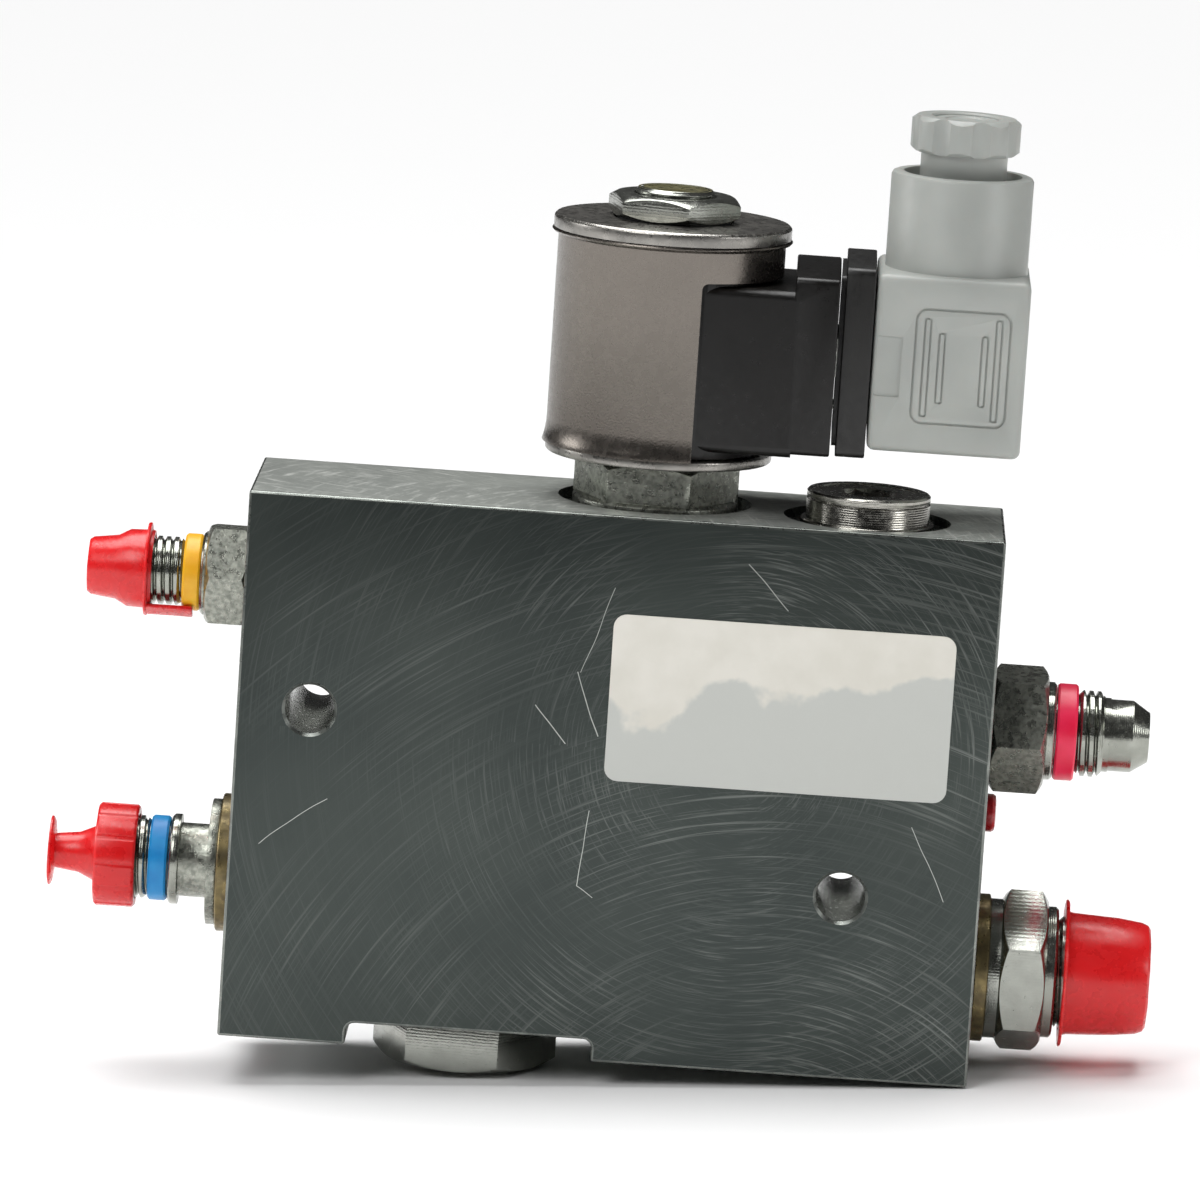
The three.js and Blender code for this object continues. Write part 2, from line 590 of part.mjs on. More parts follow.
/** The moving iron, with two flutes that let oil past it. */
function armature() {
  const radius = TUBE.bore - TRAVEL_REST;
  const pocketFloor = armatureTop - ARMATURE.pocketDepth;
  const iron = turned([
    [0, ARMATURE.bottom],
    [radius, ARMATURE.bottom],
    [radius, armatureTop],
    [ARMATURE.pocketRadius, armatureTop],
    [ARMATURE.pocketRadius, pocketFloor],
    [0, pocketFloor],
  ], SMALL);
  const { flute: depth } = ARMATURE;
  const flute = box(radius - depth, radius + 1, -depth, depth, ARMATURE.bottom - 1, armatureTop + 1);
  return iron.subtract(flute).subtract(flute.rotate([0, 0, 180]));
}

/** The metering spool: two lands and a waist. */
function valveSpool() {
  return turned([
    [0, VALVE.spoolBottom],
    [VALVE.spoolRadius, VALVE.spoolBottom],
    [VALVE.spoolRadius, VALVE.neckBottom],
    [VALVE.neckRadius, VALVE.neckBottom],
    [VALVE.neckRadius, VALVE.neckTop],
    [VALVE.spoolRadius, VALVE.neckTop],
    [VALVE.spoolRadius, VALVE.spoolTop],
    [0, VALVE.spoolTop],
  ], SMALL);
}

/** Everything on the cartridge axis below the coil. */
function buildCartridge(axis) {
  piece(axis, "valve_cartridge_body", cartridgeBody(), ZINC_DARK);
  piece(axis, "core_tube", coreTube(), ZINC);
  piece(axis, "pole_piece", polePiece(), TURNED_STEEL);
  piece(axis, "armature", armature(), TURNED_STEEL);
  const pin = rod(ARMATURE.pinRadius, VALVE.spoolTop + SEAT, ARMATURE.bottom - SEAT, SMALL);
  piece(axis, "push_pin", pin, TURNED_STEEL);
  piece(axis, "valve_spool", valveSpool(), TURNED_STEEL);
  const springFoot = armatureTop - ARMATURE.pocketDepth;
  const springHead = poleBottom + RETURN_SPRING.polePocket;
  const { radius, wire, turns } = RETURN_SPRING;
  const coils = spring(radius, wire, turns, springFoot, springHead);
  piece(axis, "return_spring", coils, SPRING_STEEL);
  piece(axis, "valve_upper_o_ring", grooveRing(VALVE.upperRadius, ringHeights.upper), NITRILE);
  piece(axis, "valve_middle_o_ring", grooveRing(VALVE.upperRadius, ringHeights.middle), NITRILE);
  piece(axis, "valve_lower_o_ring", grooveRing(VALVE.noseRadius, ringHeights.lower), NITRILE);
}

// ---------------------------------------------------------------- coil
const neckEnd = COIL.canRadius + HEAD.neckReach;
const headEnd = COIL.canRadius + HEAD.reach;
const screwHeight = coilBottom + HEAD.bottom + HEAD.height / 2 + SCREW.rise;
const mouldOuter = COIL.canRadius - COIL.canWall - COIL.mouldRoom;
const mouldInner = mouldOuter - COIL.mouldWall;
const pins = [
  { name: "terminal_pin_1", y: -PIN.spread, z: screwHeight, halfY: PIN.thickness / 2, halfZ: PIN.width / 2 },
  { name: "terminal_pin_2", y: PIN.spread, z: screwHeight, halfY: PIN.thickness / 2, halfZ: PIN.width / 2 },
  { name: "earth_pin", y: 0, z: screwHeight - PIN.spread, halfY: PIN.width / 2, halfZ: PIN.thickness / 2 },
];

/** A contact blade, or with a margin the slot it stands in, between two distances from the axis. */
function blade(pin, from, to, margin = 0) {
  const { y, z, halfY, halfZ } = pin;
  return box(from, to, y - halfY - margin, y + halfY + margin, z - halfZ - margin, z + halfZ + margin);
}

/** The steel can, lipped at both ends, with the window that the plug head comes out of. */
function coilCan() {
  const { canRadius, canWall, footLip, footLipHeight, headLip, headLipHeight } = COIL;
  const { windowEdge, windowHeight } = COIL;
  const shell = turned([
    [canRadius - canWall, canBottom],
    [canRadius + footLip, canBottom],
    [canRadius, canBottom + footLipHeight],
    [canRadius, canTop - headLipHeight],
    [canRadius + headLip, canTop],
    [canRadius - canWall, canTop],
  ], FINE);
  const reach = canRadius + footLip + 1;
  return shell.subtract(box(windowEdge, reach, -reach, reach, canBottom - 1, canBottom + windowHeight));
}

/** The moulding round the winding, with the neck and the head that carries the contact blades. */
function plugMoulding() {
  const { halfWidth, neckBottom, neckHeight, height, bevel } = HEAD;
  const headBottom = coilBottom + HEAD.bottom;
  const tube = ring(mouldInner, mouldOuter, canBottom + COIL.mouldRoom, canTop - COIL.mouldRoom, FINE);
  const lowNeck = coilBottom + neckBottom;
  const neck = box(0, neckEnd + 1, -halfWidth, halfWidth, lowNeck, lowNeck + neckHeight)
    .subtract(rod(mouldInner + 0.5, lowNeck - 1, lowNeck + neckHeight + 1, FINE));
  const head = roundedBar(neckEnd, headEnd, halfWidth, headBottom, headBottom + height, bevel);
  let body = tube.add(neck).add(head);
  for (const pin of pins) body = body.subtract(blade(pin, headEnd - PIN.rootDepth - 0.15, headEnd + 1, 0.15));
  const screwHole = along(rod(SCREW.radius + FIT, headEnd - SCREW.grip - 1, headEnd + 1, SMALL), 1);
  return body.subtract(moved(screwHole, 0, 0, screwHeight));
}

/** The nut that clamps the coil, relieved underneath for its seal. */
function coilNut() {
  const hex = hexagon(COIL_NUT.flats, COIL_NUT.turn, nutBottom, nutBottom + COIL_NUT.height);
  return hex.subtract(rod(nutBore, nutBottom - 1, nutBottom + COIL_NUT.height + 1));
}

/** The coil and the nut that holds it. */
function buildCoil(axis) {
  const lowerRim = COIL.canRadius - COIL.plateLowerInset;
  const upperRim = COIL.canRadius + COIL.plateUpperLip;
  const lowerPlate = ring(coilBore, lowerRim, coilBottom, coilBottom + COIL.plateLower, FINE);
  piece(axis, "coil_lower_plate", lowerPlate, ZINC);
  piece(axis, "coil_can", coilCan(), COIL_STEEL);
  const sealFloor = coilTop - COIL_NUT.groove;
  const nutGroove = ring(coilBore - 1, nutSealRadius + 1, sealFloor, coilTop + 1);
  const upperPlate = ring(coilBore, upperRim, plateBottom, coilTop, FINE).subtract(nutGroove);
  piece(axis, "coil_upper_plate", upperPlate, COIL_STEEL);
  piece(axis, "coil_plug_moulding", plugMoulding(), BLACK_PLASTIC);
  const low = canBottom + SEAT;
  const high = canTop - SEAT;
  const wall = coilBore + COIL.bobbinWall;
  const rim = mouldInner - COIL.mouldRoom;
  piece(axis, "coil_bobbin", turned([
    [coilBore, low], [rim, low], [rim, low + COIL.bobbinFlange], [wall, low + COIL.bobbinFlange],
    [wall, high - COIL.bobbinFlange], [rim, high - COIL.bobbinFlange], [rim, high], [coilBore, high],
  ]), NATURAL_PLASTIC);
  const windingLow = low + COIL.bobbinFlange + FIT;
  const windingHigh = high - COIL.bobbinFlange - FIT;
  const winding = ring(wall + FIT, rim - COIL.windingRoom, windingLow, windingHigh);
  piece(axis, "coil_winding", winding, COPPER);
  for (const pin of pins) {
    piece(axis, pin.name, blade(pin, headEnd - PIN.rootDepth, headEnd + PIN.reach), TINNED);
  }
  const lowerSealHeight = coilBottom - lowerSealSection - 0.05;
  piece(axis, "coil_lower_o_ring", torus(lowerSealRadius, lowerSealSection, lowerSealHeight), NITRILE);
  const nutSealHeight = sealFloor + COIL_NUT.sealSection + 0.03;
  piece(axis, "coil_nut_o_ring", torus(nutSealRadius, COIL_NUT.sealSection, nutSealHeight), NITRILE);
  piece(axis, "coil_nut", coilNut(), ZINC);
}

// ---------------------------------------------------------------- connector
const gasketStart = headEnd + FIT;
const slabStart = gasketStart + GASKET.padThickness;
const housingStart = slabStart + GASKET.thickness + FIT;
const housingEnd = housingStart + HOUSING.depth;
const housingBottom = coilBottom + HOUSING.bottom;
const housingTop = housingBottom + HOUSING.height;
const towerX = housingStart + HOUSING.towerInset;
const towerTop = housingTop + HOUSING.towerHeight;
const gripFloor = towerTop - HOUSING.gripDepth;
const screwSeat = housingEnd - SCREW.headHeight - FIT;
const screwSealSpan = 2 * SCREW.sealSection + 0.1;

/** The flat gasket between the coil head and the housing. */
function connectorGasket() {
  const { padInset, halfWidth, height, hole, thickness, corner } = GASKET;
  const low = coilBottom + GASKET.bottom;
  const slab = roundedBar(slabStart, slabStart + thickness, halfWidth, low, low + height, corner);
  const padLow = low + padInset;
  const padHigh = low + height - padInset;
  const pad = roundedBar(gasketStart, slabStart + 0.5, halfWidth - padInset, padLow, padHigh, corner);
  const slabEnd = slabStart + thickness;
  const through = box(gasketStart - 1, slabEnd + 1, -hole, hole, screwHeight - hole, screwHeight + hole);
  return slab.add(pad).subtract(through);
}

/** The grey housing: a box open towards the coil with a round tower for the cable gland. */
function connectorHousing() {
  const { halfWidth, corner, cavityDepth, cavityHalf, towerRadius } = HOUSING;
  const { recessRadius, recessDepth, gripRadius, passage } = HOUSING;
  const shell = roundedBar(housingStart, housingEnd, halfWidth, housingBottom, housingTop, corner);
  const tower = moved(rod(towerRadius, housingTop - corner - 1, towerTop, FINE), towerX, 0, 0);
  const cavityLow = screwHeight - cavityHalf;
  const cavityHigh = screwHeight + cavityHalf;
  const cavityEnd = housingStart + cavityDepth;
  const cavity = box(housingStart - 1, cavityEnd, -cavityHalf, cavityHalf, cavityLow, cavityHigh);
  const gland = turned([
    [0, cavityHigh - 1],
    [passage, cavityHigh - 1],
    [passage, gripFloor],
    [gripRadius, gripFloor],
    [gripRadius, towerTop - recessDepth],
    [recessRadius, towerTop - recessDepth],
    [recessRadius, towerTop + 1],
    [0, towerTop + 1],
  ]);
  const seat = screwSeat - screwSealSpan;
  const screwWay = turned([
    [0, housingStart],
    [SCREW.radius + FIT, housingStart],
    [SCREW.radius + FIT, seat],
    [SCREW.headRadius + TRAVEL_REST, seat],
    [SCREW.headRadius + TRAVEL_REST, housingEnd + 1],
    [0, housingEnd + 1],
  ], SMALL);
  return shell
    .add(tower)
    .subtract(cavity)
    .subtract(moved(gland, towerX, 0, 0))
    .subtract(moved(along(screwWay, 1), 0, 0, screwHeight));
}

/** The terminal carrier that the contact blades push into. */
function terminalBlock() {
  const { length, half } = TERMINAL_BLOCK;
  const start = gasketStart + FIT;
  let block = box(start, start + length, -half, half, screwHeight - half, screwHeight + half);
  for (const pin of pins) block = block.subtract(blade(pin, start - 1, headEnd + PIN.reach + 1, 0.3));
  const screwHole = along(rod(SCREW.radius + FIT, start - 1, start + length + 1, SMALL), 1);
  return block.subtract(moved(screwHole, 0, 0, screwHeight));
}

/** The long screw through the housing, with a slot across its head. */
function connectorScrew() {
  const tip = headEnd - SCREW.grip;
  const shape = turned([
    [0, tip],
    [SCREW.radius - BREAK_EDGE, tip],
    [SCREW.radius, tip + BREAK_EDGE],
    [SCREW.radius, screwSeat],
    [SCREW.headRadius, screwSeat],
    [SCREW.headRadius, screwSeat + SCREW.headHeight],
    [0, screwSeat + SCREW.headHeight],
  ], SMALL);
  const slotFloor = screwSeat + SCREW.headHeight - SCREW.slotDepth;
  const half = SCREW.slotWidth / 2;
  const slot = box(-SCREW.headRadius - 1, SCREW.headRadius + 1, -half, half, slotFloor, slotFloor + 3);
  return moved(along(shape.subtract(slot), 1), 0, 0, screwHeight);
}

/** The gland nut: a lobed head on a shank that presses the washer and the grommet. */
function glandNut() {
  const washerTop = gripFloor + SEAT + GLAND.grommetHeight + FIT + GLAND.washer;
  const shankEnd = washerTop + FIT;
  const headBottom = towerTop + GLAND.gap;
  const headTop = headBottom + GLAND.headHeight;
  const flats = 2 * GLAND.headRadius * Math.cos(Math.PI / GLAND.lobes);
  const head = prism(flats, GLAND.lobes, GLAND.turn, headBottom, headTop).intersect(turned([
    [0, headBottom],
    [GLAND.headRadius - GLAND.bevel, headBottom],
    [GLAND.headRadius + RUNNING, headBottom + GLAND.bevel],
    [GLAND.headRadius + RUNNING, headTop - GLAND.bevel],
    [GLAND.headRadius - GLAND.bevel, headTop],
    [0, headTop],
  ]));
  const discFloor = headTop - GLAND.discSink - GLAND.discThickness - SEAT;
  return head
    .add(rod(GLAND.shankRadius, shankEnd, headBottom + 0.5))
    .subtract(rod(GLAND.bore, shankEnd - 1, headTop + 1, SMALL))
    .subtract(rod(GLAND.discRadius + FIT, discFloor, headTop + 1, SMALL));
}

/** The cable connector that plugs on to the coil head. */
function buildConnector(axis) {
  piece(axis, "connector_gasket", connectorGasket(), BLACK_PLASTIC);
  piece(axis, "connector_housing", connectorHousing(), GREY_PLASTIC);
  piece(axis, "connector_terminal_block", terminalBlock(), BLACK_PLASTIC);
  piece(axis, "connector_screw", connectorScrew(), ZINC);
  const sealRadius = SCREW.radius + FIT + SCREW.sealSection;
  const seal = torus(sealRadius, SCREW.sealSection, screwSeat - screwSealSpan / 2, SMALL);
  piece(axis, "connector_screw_o_ring", moved(along(seal, 1), 0, 0, screwHeight), NITRILE);
  const gland = new THREE.Group();
  gland.position.x = towerX;
  axis.add(gland);
  const grommetTop = gripFloor + SEAT + GLAND.grommetHeight;
  const sleeve = GLAND.shankRadius;
  const grommet = ring(GLAND.grommetHole, sleeve, gripFloor + SEAT, grommetTop, SMALL);
  piece(gland, "gland_grommet", grommet, NITRILE);
  const washerFoot = grommetTop + FIT;
  const washer = ring(GLAND.washerHole, sleeve, washerFoot, washerFoot + GLAND.washer, SMALL);
  piece(gland, "gland_washer", washer, ZINC);
  piece(gland, "gland_nut", glandNut(), GREY_PLASTIC);
  const discTop = towerTop + GLAND.gap + GLAND.headHeight - GLAND.discSink;
  const disc = rod(GLAND.discRadius, discTop - GLAND.discThickness, discTop, SMALL);
  piece(gland, "gland_blanking_disc", disc, GREY_PLASTIC);
}

// ---------------------------------------------------------------- check cartridge
const checkRings = { upper: -CHECK.threadDepth - 1.3, lower: -CHECK.landDepth + 4 };
const checkNose = -CHECK.noseDepth + CHECK.noseRoom;

/** The check cartridge body: a round head with a hexagon socket, over a stepped stem. */
function checkBody() {
  const foot = -CHECK.spotDepth + SEAT;
  const grooveTop = CHECK.headTop - CHECK.discThickness;
  const grooveBottom = grooveTop - CHECK.grooveWidth;
  const outside = turned([
    [0, checkNose],
    [CHECK.noseRadius - LEAD_IN, checkNose],
    [CHECK.noseRadius, checkNose + LEAD_IN],
    [CHECK.noseRadius, -CHECK.landDepth + FIT],
    [CHECK.landRadius, -CHECK.landDepth + FIT],
    [CHECK.landRadius, -CHECK.threadDepth + FIT],
    [CHECK.threadRadius, -CHECK.threadDepth + FIT],
    [CHECK.threadRadius, foot],
    [CHECK.footRadius, foot],
    [CHECK.footRadius, CHECK.footTop],
    [CHECK.headRadius, CHECK.footTop],
    [CHECK.headRadius, grooveBottom],
    [CHECK.headRadius - CHECK.grooveDepth, grooveBottom],
    [CHECK.headRadius - CHECK.grooveDepth, grooveTop],
    [CHECK.headRadius, grooveTop],
    [CHECK.headRadius, CHECK.headTop - BREAK_EDGE],
    [CHECK.headRadius - BREAK_EDGE, CHECK.headTop],
    [0, CHECK.headTop],
  ]);
  const inside = turned([
    [0, checkNose - 1],
    [CHECK.seatRadius + FIT, checkNose - 1],
    [CHECK.seatRadius + FIT, CHECK.chamberBottom],
    [CHECK.chamberRadius, CHECK.chamberBottom],
    [CHECK.chamberRadius, CHECK.chamberTop],
    [0, CHECK.chamberTop],
  ], SMALL);
  return outside
    .subtract(inside)
    .subtract(prism(CHECK.socketFlats, 6, 0, CHECK.headTop - CHECK.socketDepth, CHECK.headTop + 1))
    .subtract(crossHoles(CHECK.crossHole, -PORTS.upperLeftDrop, CHECK.landRadius + 1))
    .subtract(ringGroove(CHECK.landRadius, checkRings.upper))
    .subtract(ringGroove(CHECK.landRadius, checkRings.lower));
}

/** The poppet: a coned nose on a guided cup that holds the spring. */
function checkPoppet() {
  const base = CHECK.chamberBottom + TRAVEL_REST;
  const shoulder = base + POPPET.noseHeight;
  const lip = base + POPPET.length;
  return turned([
    [0, base],
    [POPPET.noseRadius - POPPET.noseBevel, base],
    [POPPET.noseRadius, base + POPPET.noseBevel],
    [POPPET.noseRadius, shoulder],
    [POPPET.radius, shoulder + LEAD_IN],
    [POPPET.radius, lip],
    [POPPET.pocketRadius, lip],
    [POPPET.pocketRadius, POPPET.pocketFloor],
    [0, POPPET.pocketFloor],
  ], SMALL);
}

/** Everything on the check cartridge axis. */
function buildCheck(axis) {
  piece(axis, "check_cartridge_body", checkBody(), TURNED_STEEL);
  const seatTop = CHECK.chamberBottom - FIT;
  const seat = ring(CHECK.seatHole, CHECK.seatRadius, checkNose + SEAT, seatTop, SMALL);
  piece(axis, "check_seat_ring", seat, TURNED_STEEL);
  piece(axis, "check_poppet", checkPoppet(), TURNED_STEEL);
  const { radius, wire, turns } = CHECK_SPRING;
  const coils = spring(radius, wire, turns, POPPET.pocketFloor, CHECK.chamberTop);
  piece(axis, "check_spring", coils, SPRING_STEEL);
  piece(axis, "check_upper_o_ring", grooveRing(CHECK.landRadius, checkRings.upper), NITRILE);
  piece(axis, "check_lower_o_ring", grooveRing(CHECK.landRadius, checkRings.lower), NITRILE);
}

// ---------------------------------------------------------------- plugs
const plugRingHeight = 1.6;

/** The hexagon plug that closes the bottom cavity, modelled with its stem pointing down its own -Z. */
function bottomPlug() {
  const { hexFlats, turn, hexHeight, stemRadius, stemDepth } = BOTTOM_PLUG;
  const hex = hexagon(hexFlats, turn, SEAT, SEAT + hexHeight, false, true);
  const stem = turned([
    [0, -stemDepth],
    [stemRadius - LEAD_IN, -stemDepth],
    [stemRadius, -stemDepth + LEAD_IN],
    [stemRadius, SEAT + 0.5],
    [0, SEAT + 0.5],
  ]);
  return hex.add(stem).subtract(ringGroove(stemRadius, -plugRingHeight));
}

/** The small screw plug that closes the cross drilling on the outlet side. */
function sidePlug() {
  const { headRadius, headHeight, stemRadius, stemDepth } = SIDE_PLUG;
  return turned([
    [0, -stemDepth],
    [stemRadius, -stemDepth],
    [stemRadius, SEAT],
    [headRadius, SEAT],
    [headRadius, headHeight - BREAK_EDGE],
    [headRadius - BREAK_EDGE, headHeight],
    [0, headHeight],
  ], SMALL);
}

// ---------------------------------------------------------------- hose fittings
const stemRingHeight = -1.4;

/** A male stud fitting: stem, collar, hexagon, neck, thread and sealing nose round one bore. */
function fitting(size) {
  const collarStart = size.sealWidth ? size.sealWidth + 2 * SEAT : size.hexStart;
  const collarRadius = size.collarRadius || size.stemRadius;
  const outside = turned([
    [0, -size.stemDepth],
    [size.stemRadius - LEAD_IN, -size.stemDepth],
    [size.stemRadius, -size.stemDepth + LEAD_IN],
    [size.stemRadius, collarStart],
    [collarRadius, collarStart],
    [collarRadius, size.hexStart + 0.2],
    [size.neckRadius, size.hexStart + 0.2],
    [size.neckRadius, size.threadStart],
    [size.threadRadius - LEAD_IN, size.threadStart],
    [size.threadRadius, size.threadStart + LEAD_IN],
    [size.threadRadius, size.threadEnd - LEAD_IN],
    [size.reliefRadius - 0.1, size.threadEnd],
    [size.reliefRadius - 0.1, size.reliefEnd],
    [size.noseRadius - 0.1, size.reliefEnd],
    [size.noseRadius - 0.1, size.noseEnd],
    [size.coneRadius, size.coneEnd],
    [0, size.coneEnd],
  ].filter(([r, z], i, all) => !i || r !== all[i - 1][0] || z !== all[i - 1][1]));
  const hex = hexagon(size.hexFlats, size.hexTurn, size.hexStart, size.hexEnd);
  const shoulder = rod(size.shoulderRadius, size.hexEnd - 0.3, size.shoulderEnd);
  let body = outside.add(hex).add(shoulder);
  body = body.subtract(rod(size.bore, -size.stemDepth - 1, size.coneEnd + 1, SMALL));
  return size.sealWidth ? body : body.subtract(ringGroove(size.stemRadius, stemRingHeight));
}

/** A group whose +Z points straight out of a port. */
function portGroup({ side, height }) {
  const group = new THREE.Group();
  group.position.set(side * right, middleY, height);
  group.rotation.y = (side * Math.PI) / 2;
  return group;
}

/** A bonded seal: a flat washer between the block and the fitting's collar. */
function bondedSeal(size) {
  return ring(size.stemRadius + FIT, size.sealRadius, SEAT, SEAT + size.sealWidth);
}

/** A coloured identification band on the neck of a fitting. */
function band(size) {
  return ring(size.neckRadius + FIT, size.bandRadius, size.bandStart, size.bandEnd);
}

/** The tapered cap with a pull tab. */
function upperLeftCap(size, cap) {
  const bore = size.threadRadius + CAP_FIT;
  const outer = bore + CAP_WALL;
  const tipBore = cap.tipRadius - CAP_WALL;
  const shell = turned([
    [bore, cap.start],
    [outer, cap.start],
    [outer, cap.flangeStart],
    [cap.flangeRadius, cap.flangeStart],
    [cap.flangeRadius, cap.flangeStart + cap.flange],
    [outer, cap.flangeStart + cap.flange],
    [outer, cap.stepStart],
    [cap.tipRadius + CAP_FIT, cap.stepEnd],
    [cap.tipRadius, cap.end - BREAK_EDGE],
    [cap.tipRadius - BREAK_EDGE, cap.end],
    [0, cap.end],
    [0, cap.end - CAP_WALL - 0.2],
    [tipBore, cap.end - CAP_WALL - 0.2],
    [tipBore + CAP_FIT, cap.stepEnd - 0.1],
    [bore, cap.stepStart - 0.3],
  ]);
  const half = cap.tabWidth / 2;
  const innerFace = cap.tabOffset - cap.tabThickness / 2;
  const outerFace = cap.tabOffset + cap.tabThickness / 2;
  const tabEnd = cap.flangeStart - cap.tabReach;
  const tab = box(innerFace, outerFace, -half, half, tabEnd, cap.flangeStart + cap.flange / 2);
  const anchor = box(outer - 0.3, outerFace, -half, half, cap.flangeStart, cap.flangeStart + cap.flange);
  return shell.add(tab.add(anchor).rotate([0, 0, cap.tabAngle]));
}

/** The grip cap with a waisted stem and a pull disc. */
function lowerLeftCap(size, cap) {
  const bore = size.threadRadius + CAP_FIT;
  return turned([
    [bore, cap.start],
    [cap.bodyRadius, cap.start],
    [cap.bodyRadius, cap.end],
    [cap.stemRadius, cap.end + cap.shoulder],
    [cap.tipRadius, cap.stemEnd],
    [cap.discRadius, cap.stemEnd],
    [cap.discRadius, cap.stemEnd + cap.disc],
    [0, cap.stemEnd + cap.disc],
    [0, size.coneEnd + CAP_FIT],
    [bore, size.coneEnd + CAP_FIT],
  ]);
}

/** The large flanged cap. */
function lowerRightCap(size, cap) {
  const bore = size.threadRadius + CAP_FIT;
  const outer = bore + CAP_WALL;
  const noseBore = cap.tipRadius - CAP_WALL;
  return turned([
    [bore, cap.start],
    [cap.flangeRadius, cap.start],
    [cap.flangeRadius, cap.start + cap.flange],
    [outer, cap.start + cap.flange],
    [outer, size.threadEnd],
    [cap.tipRadius, cap.taperEnd],
    [cap.faceRadius, cap.end],
    [0, cap.end],
    [0, cap.end - CAP_WALL - 0.2],
    [cap.faceRadius - CAP_WALL, cap.end - CAP_WALL - 0.2],
    [noseBore, cap.taperEnd - 0.2],
    [bore, size.threadEnd],
  ]);
}

/** The four fittings with their seals, bands and dust caps. */
function buildFittings(root) {
  const groups = Object.fromEntries(Object.entries(ports).map(([name, port]) => [name, portGroup(port)]));
  Object.values(groups).forEach((group) => root.add(group));
  const banded = (size) => ({ ...size, threadStart: size.bandEnd + SEAT });
  const { upperLeft, lowerLeft, upperRight, lowerRight } = groups;

  piece(upperLeft, "upper_left_fitting", fitting(banded(UPPER_LEFT)), ZINC_DARK);
  piece(upperLeft, "upper_left_o_ring", grooveRing(UPPER_LEFT.stemRadius, stemRingHeight), NITRILE);
  piece(upperLeft, "upper_left_band", band(UPPER_LEFT), YELLOW_BAND);
  piece(upperLeft, "upper_left_cap", upperLeftCap(UPPER_LEFT, UPPER_LEFT_CAP), RED_PLASTIC);

  piece(lowerLeft, "lower_left_fitting", fitting(banded(LOWER_LEFT)), ZINC_DARK);
  piece(lowerLeft, "lower_left_seal", bondedSeal(LOWER_LEFT), BONDED_SEAL);
  piece(lowerLeft, "lower_left_band", band(LOWER_LEFT), BLUE_BAND);
  piece(lowerLeft, "lower_left_cap", lowerLeftCap(LOWER_LEFT, LOWER_LEFT_CAP), RED_PLASTIC);

  piece(upperRight, "upper_right_fitting", fitting(banded(UPPER_RIGHT)), ZINC_DARK);
  piece(upperRight, "upper_right_o_ring", grooveRing(UPPER_RIGHT.stemRadius, stemRingHeight), NITRILE);
  piece(upperRight, "upper_right_band", band(UPPER_RIGHT), PINK_BAND);

  const unbanded = { ...LOWER_RIGHT, threadStart: LOWER_RIGHT.shoulderEnd + 0.2 };
  piece(lowerRight, "lower_right_fitting", fitting(unbanded), ZINC);
  piece(lowerRight, "lower_right_seal", bondedSeal(LOWER_RIGHT), BONDED_SEAL);
  piece(lowerRight, "lower_right_cap", lowerRightCap(LOWER_RIGHT, LOWER_RIGHT_CAP), RED_PLASTIC);
}

// ---------------------------------------------------------------- assembly
/** The whole valve. */
function buildValve() {
  const root = new THREE.Group();
  piece(root, "manifold_block", manifoldBlock(), ZINC_BLOCK);
  const label = piece(root, "front_label", frontLabel(), LABEL_STOCK);
  label.position.set(LABEL.width / 2 - LABEL.leftOfCentre, front - 0.05, top - LABEL.drop - LABEL.height / 2);

  const valveAxis = new THREE.Group();
  valveAxis.position.set(VALVE.x, valveY, top);
  root.add(valveAxis);
  buildCartridge(valveAxis);
  buildCoil(valveAxis);
  buildConnector(valveAxis);

  const checkAxis = new THREE.Group();
  checkAxis.position.set(checkX, checkY, top);
  root.add(checkAxis);
  buildCheck(checkAxis);

  const plugAxis = new THREE.Group();
  plugAxis.position.set(plugX, middleY, slotCeiling);
  plugAxis.rotation.x = Math.PI;
  root.add(plugAxis);
  piece(plugAxis, "bottom_plug", bottomPlug(), ZINC);
  piece(plugAxis, "bottom_plug_o_ring", grooveRing(BOTTOM_PLUG.stemRadius, -plugRingHeight), NITRILE);

  const sideAxis = portGroup({ side: 1, height: sidePlugHeight });
  root.add(sideAxis);
  piece(sideAxis, "side_plug", sidePlug(), RED_LACQUER);

  buildFittings(root);
  return root;
}

export default buildValve();
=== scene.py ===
"""Solenoid directional valve on a drilled manifold block: its visible pieces and finishes."""
import json
import logging
import math
from dataclasses import dataclass, field
from enum import Enum
from typing import Callable, Optional, Sequence

import bpy
from mathutils import Matrix, Vector


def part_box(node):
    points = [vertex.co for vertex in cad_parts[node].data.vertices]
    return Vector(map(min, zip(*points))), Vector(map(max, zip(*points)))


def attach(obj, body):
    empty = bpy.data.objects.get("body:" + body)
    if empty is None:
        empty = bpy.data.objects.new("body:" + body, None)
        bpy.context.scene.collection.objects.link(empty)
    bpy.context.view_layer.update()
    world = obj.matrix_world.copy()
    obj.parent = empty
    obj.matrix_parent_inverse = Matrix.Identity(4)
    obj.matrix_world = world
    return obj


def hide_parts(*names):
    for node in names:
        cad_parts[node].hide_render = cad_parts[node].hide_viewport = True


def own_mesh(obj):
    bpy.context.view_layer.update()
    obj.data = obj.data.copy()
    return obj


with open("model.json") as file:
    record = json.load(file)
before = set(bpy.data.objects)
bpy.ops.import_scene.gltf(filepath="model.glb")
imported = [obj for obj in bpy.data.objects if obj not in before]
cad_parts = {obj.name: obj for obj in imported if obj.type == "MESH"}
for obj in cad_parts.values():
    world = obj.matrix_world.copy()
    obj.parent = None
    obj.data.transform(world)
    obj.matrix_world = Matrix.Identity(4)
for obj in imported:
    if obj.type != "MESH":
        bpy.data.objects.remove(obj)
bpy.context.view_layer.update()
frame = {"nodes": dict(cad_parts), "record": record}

LOG = logging.getLogger("valve")
MM = 0.001
FINE = 128  # steps round large turned shapes
ROUND = 96
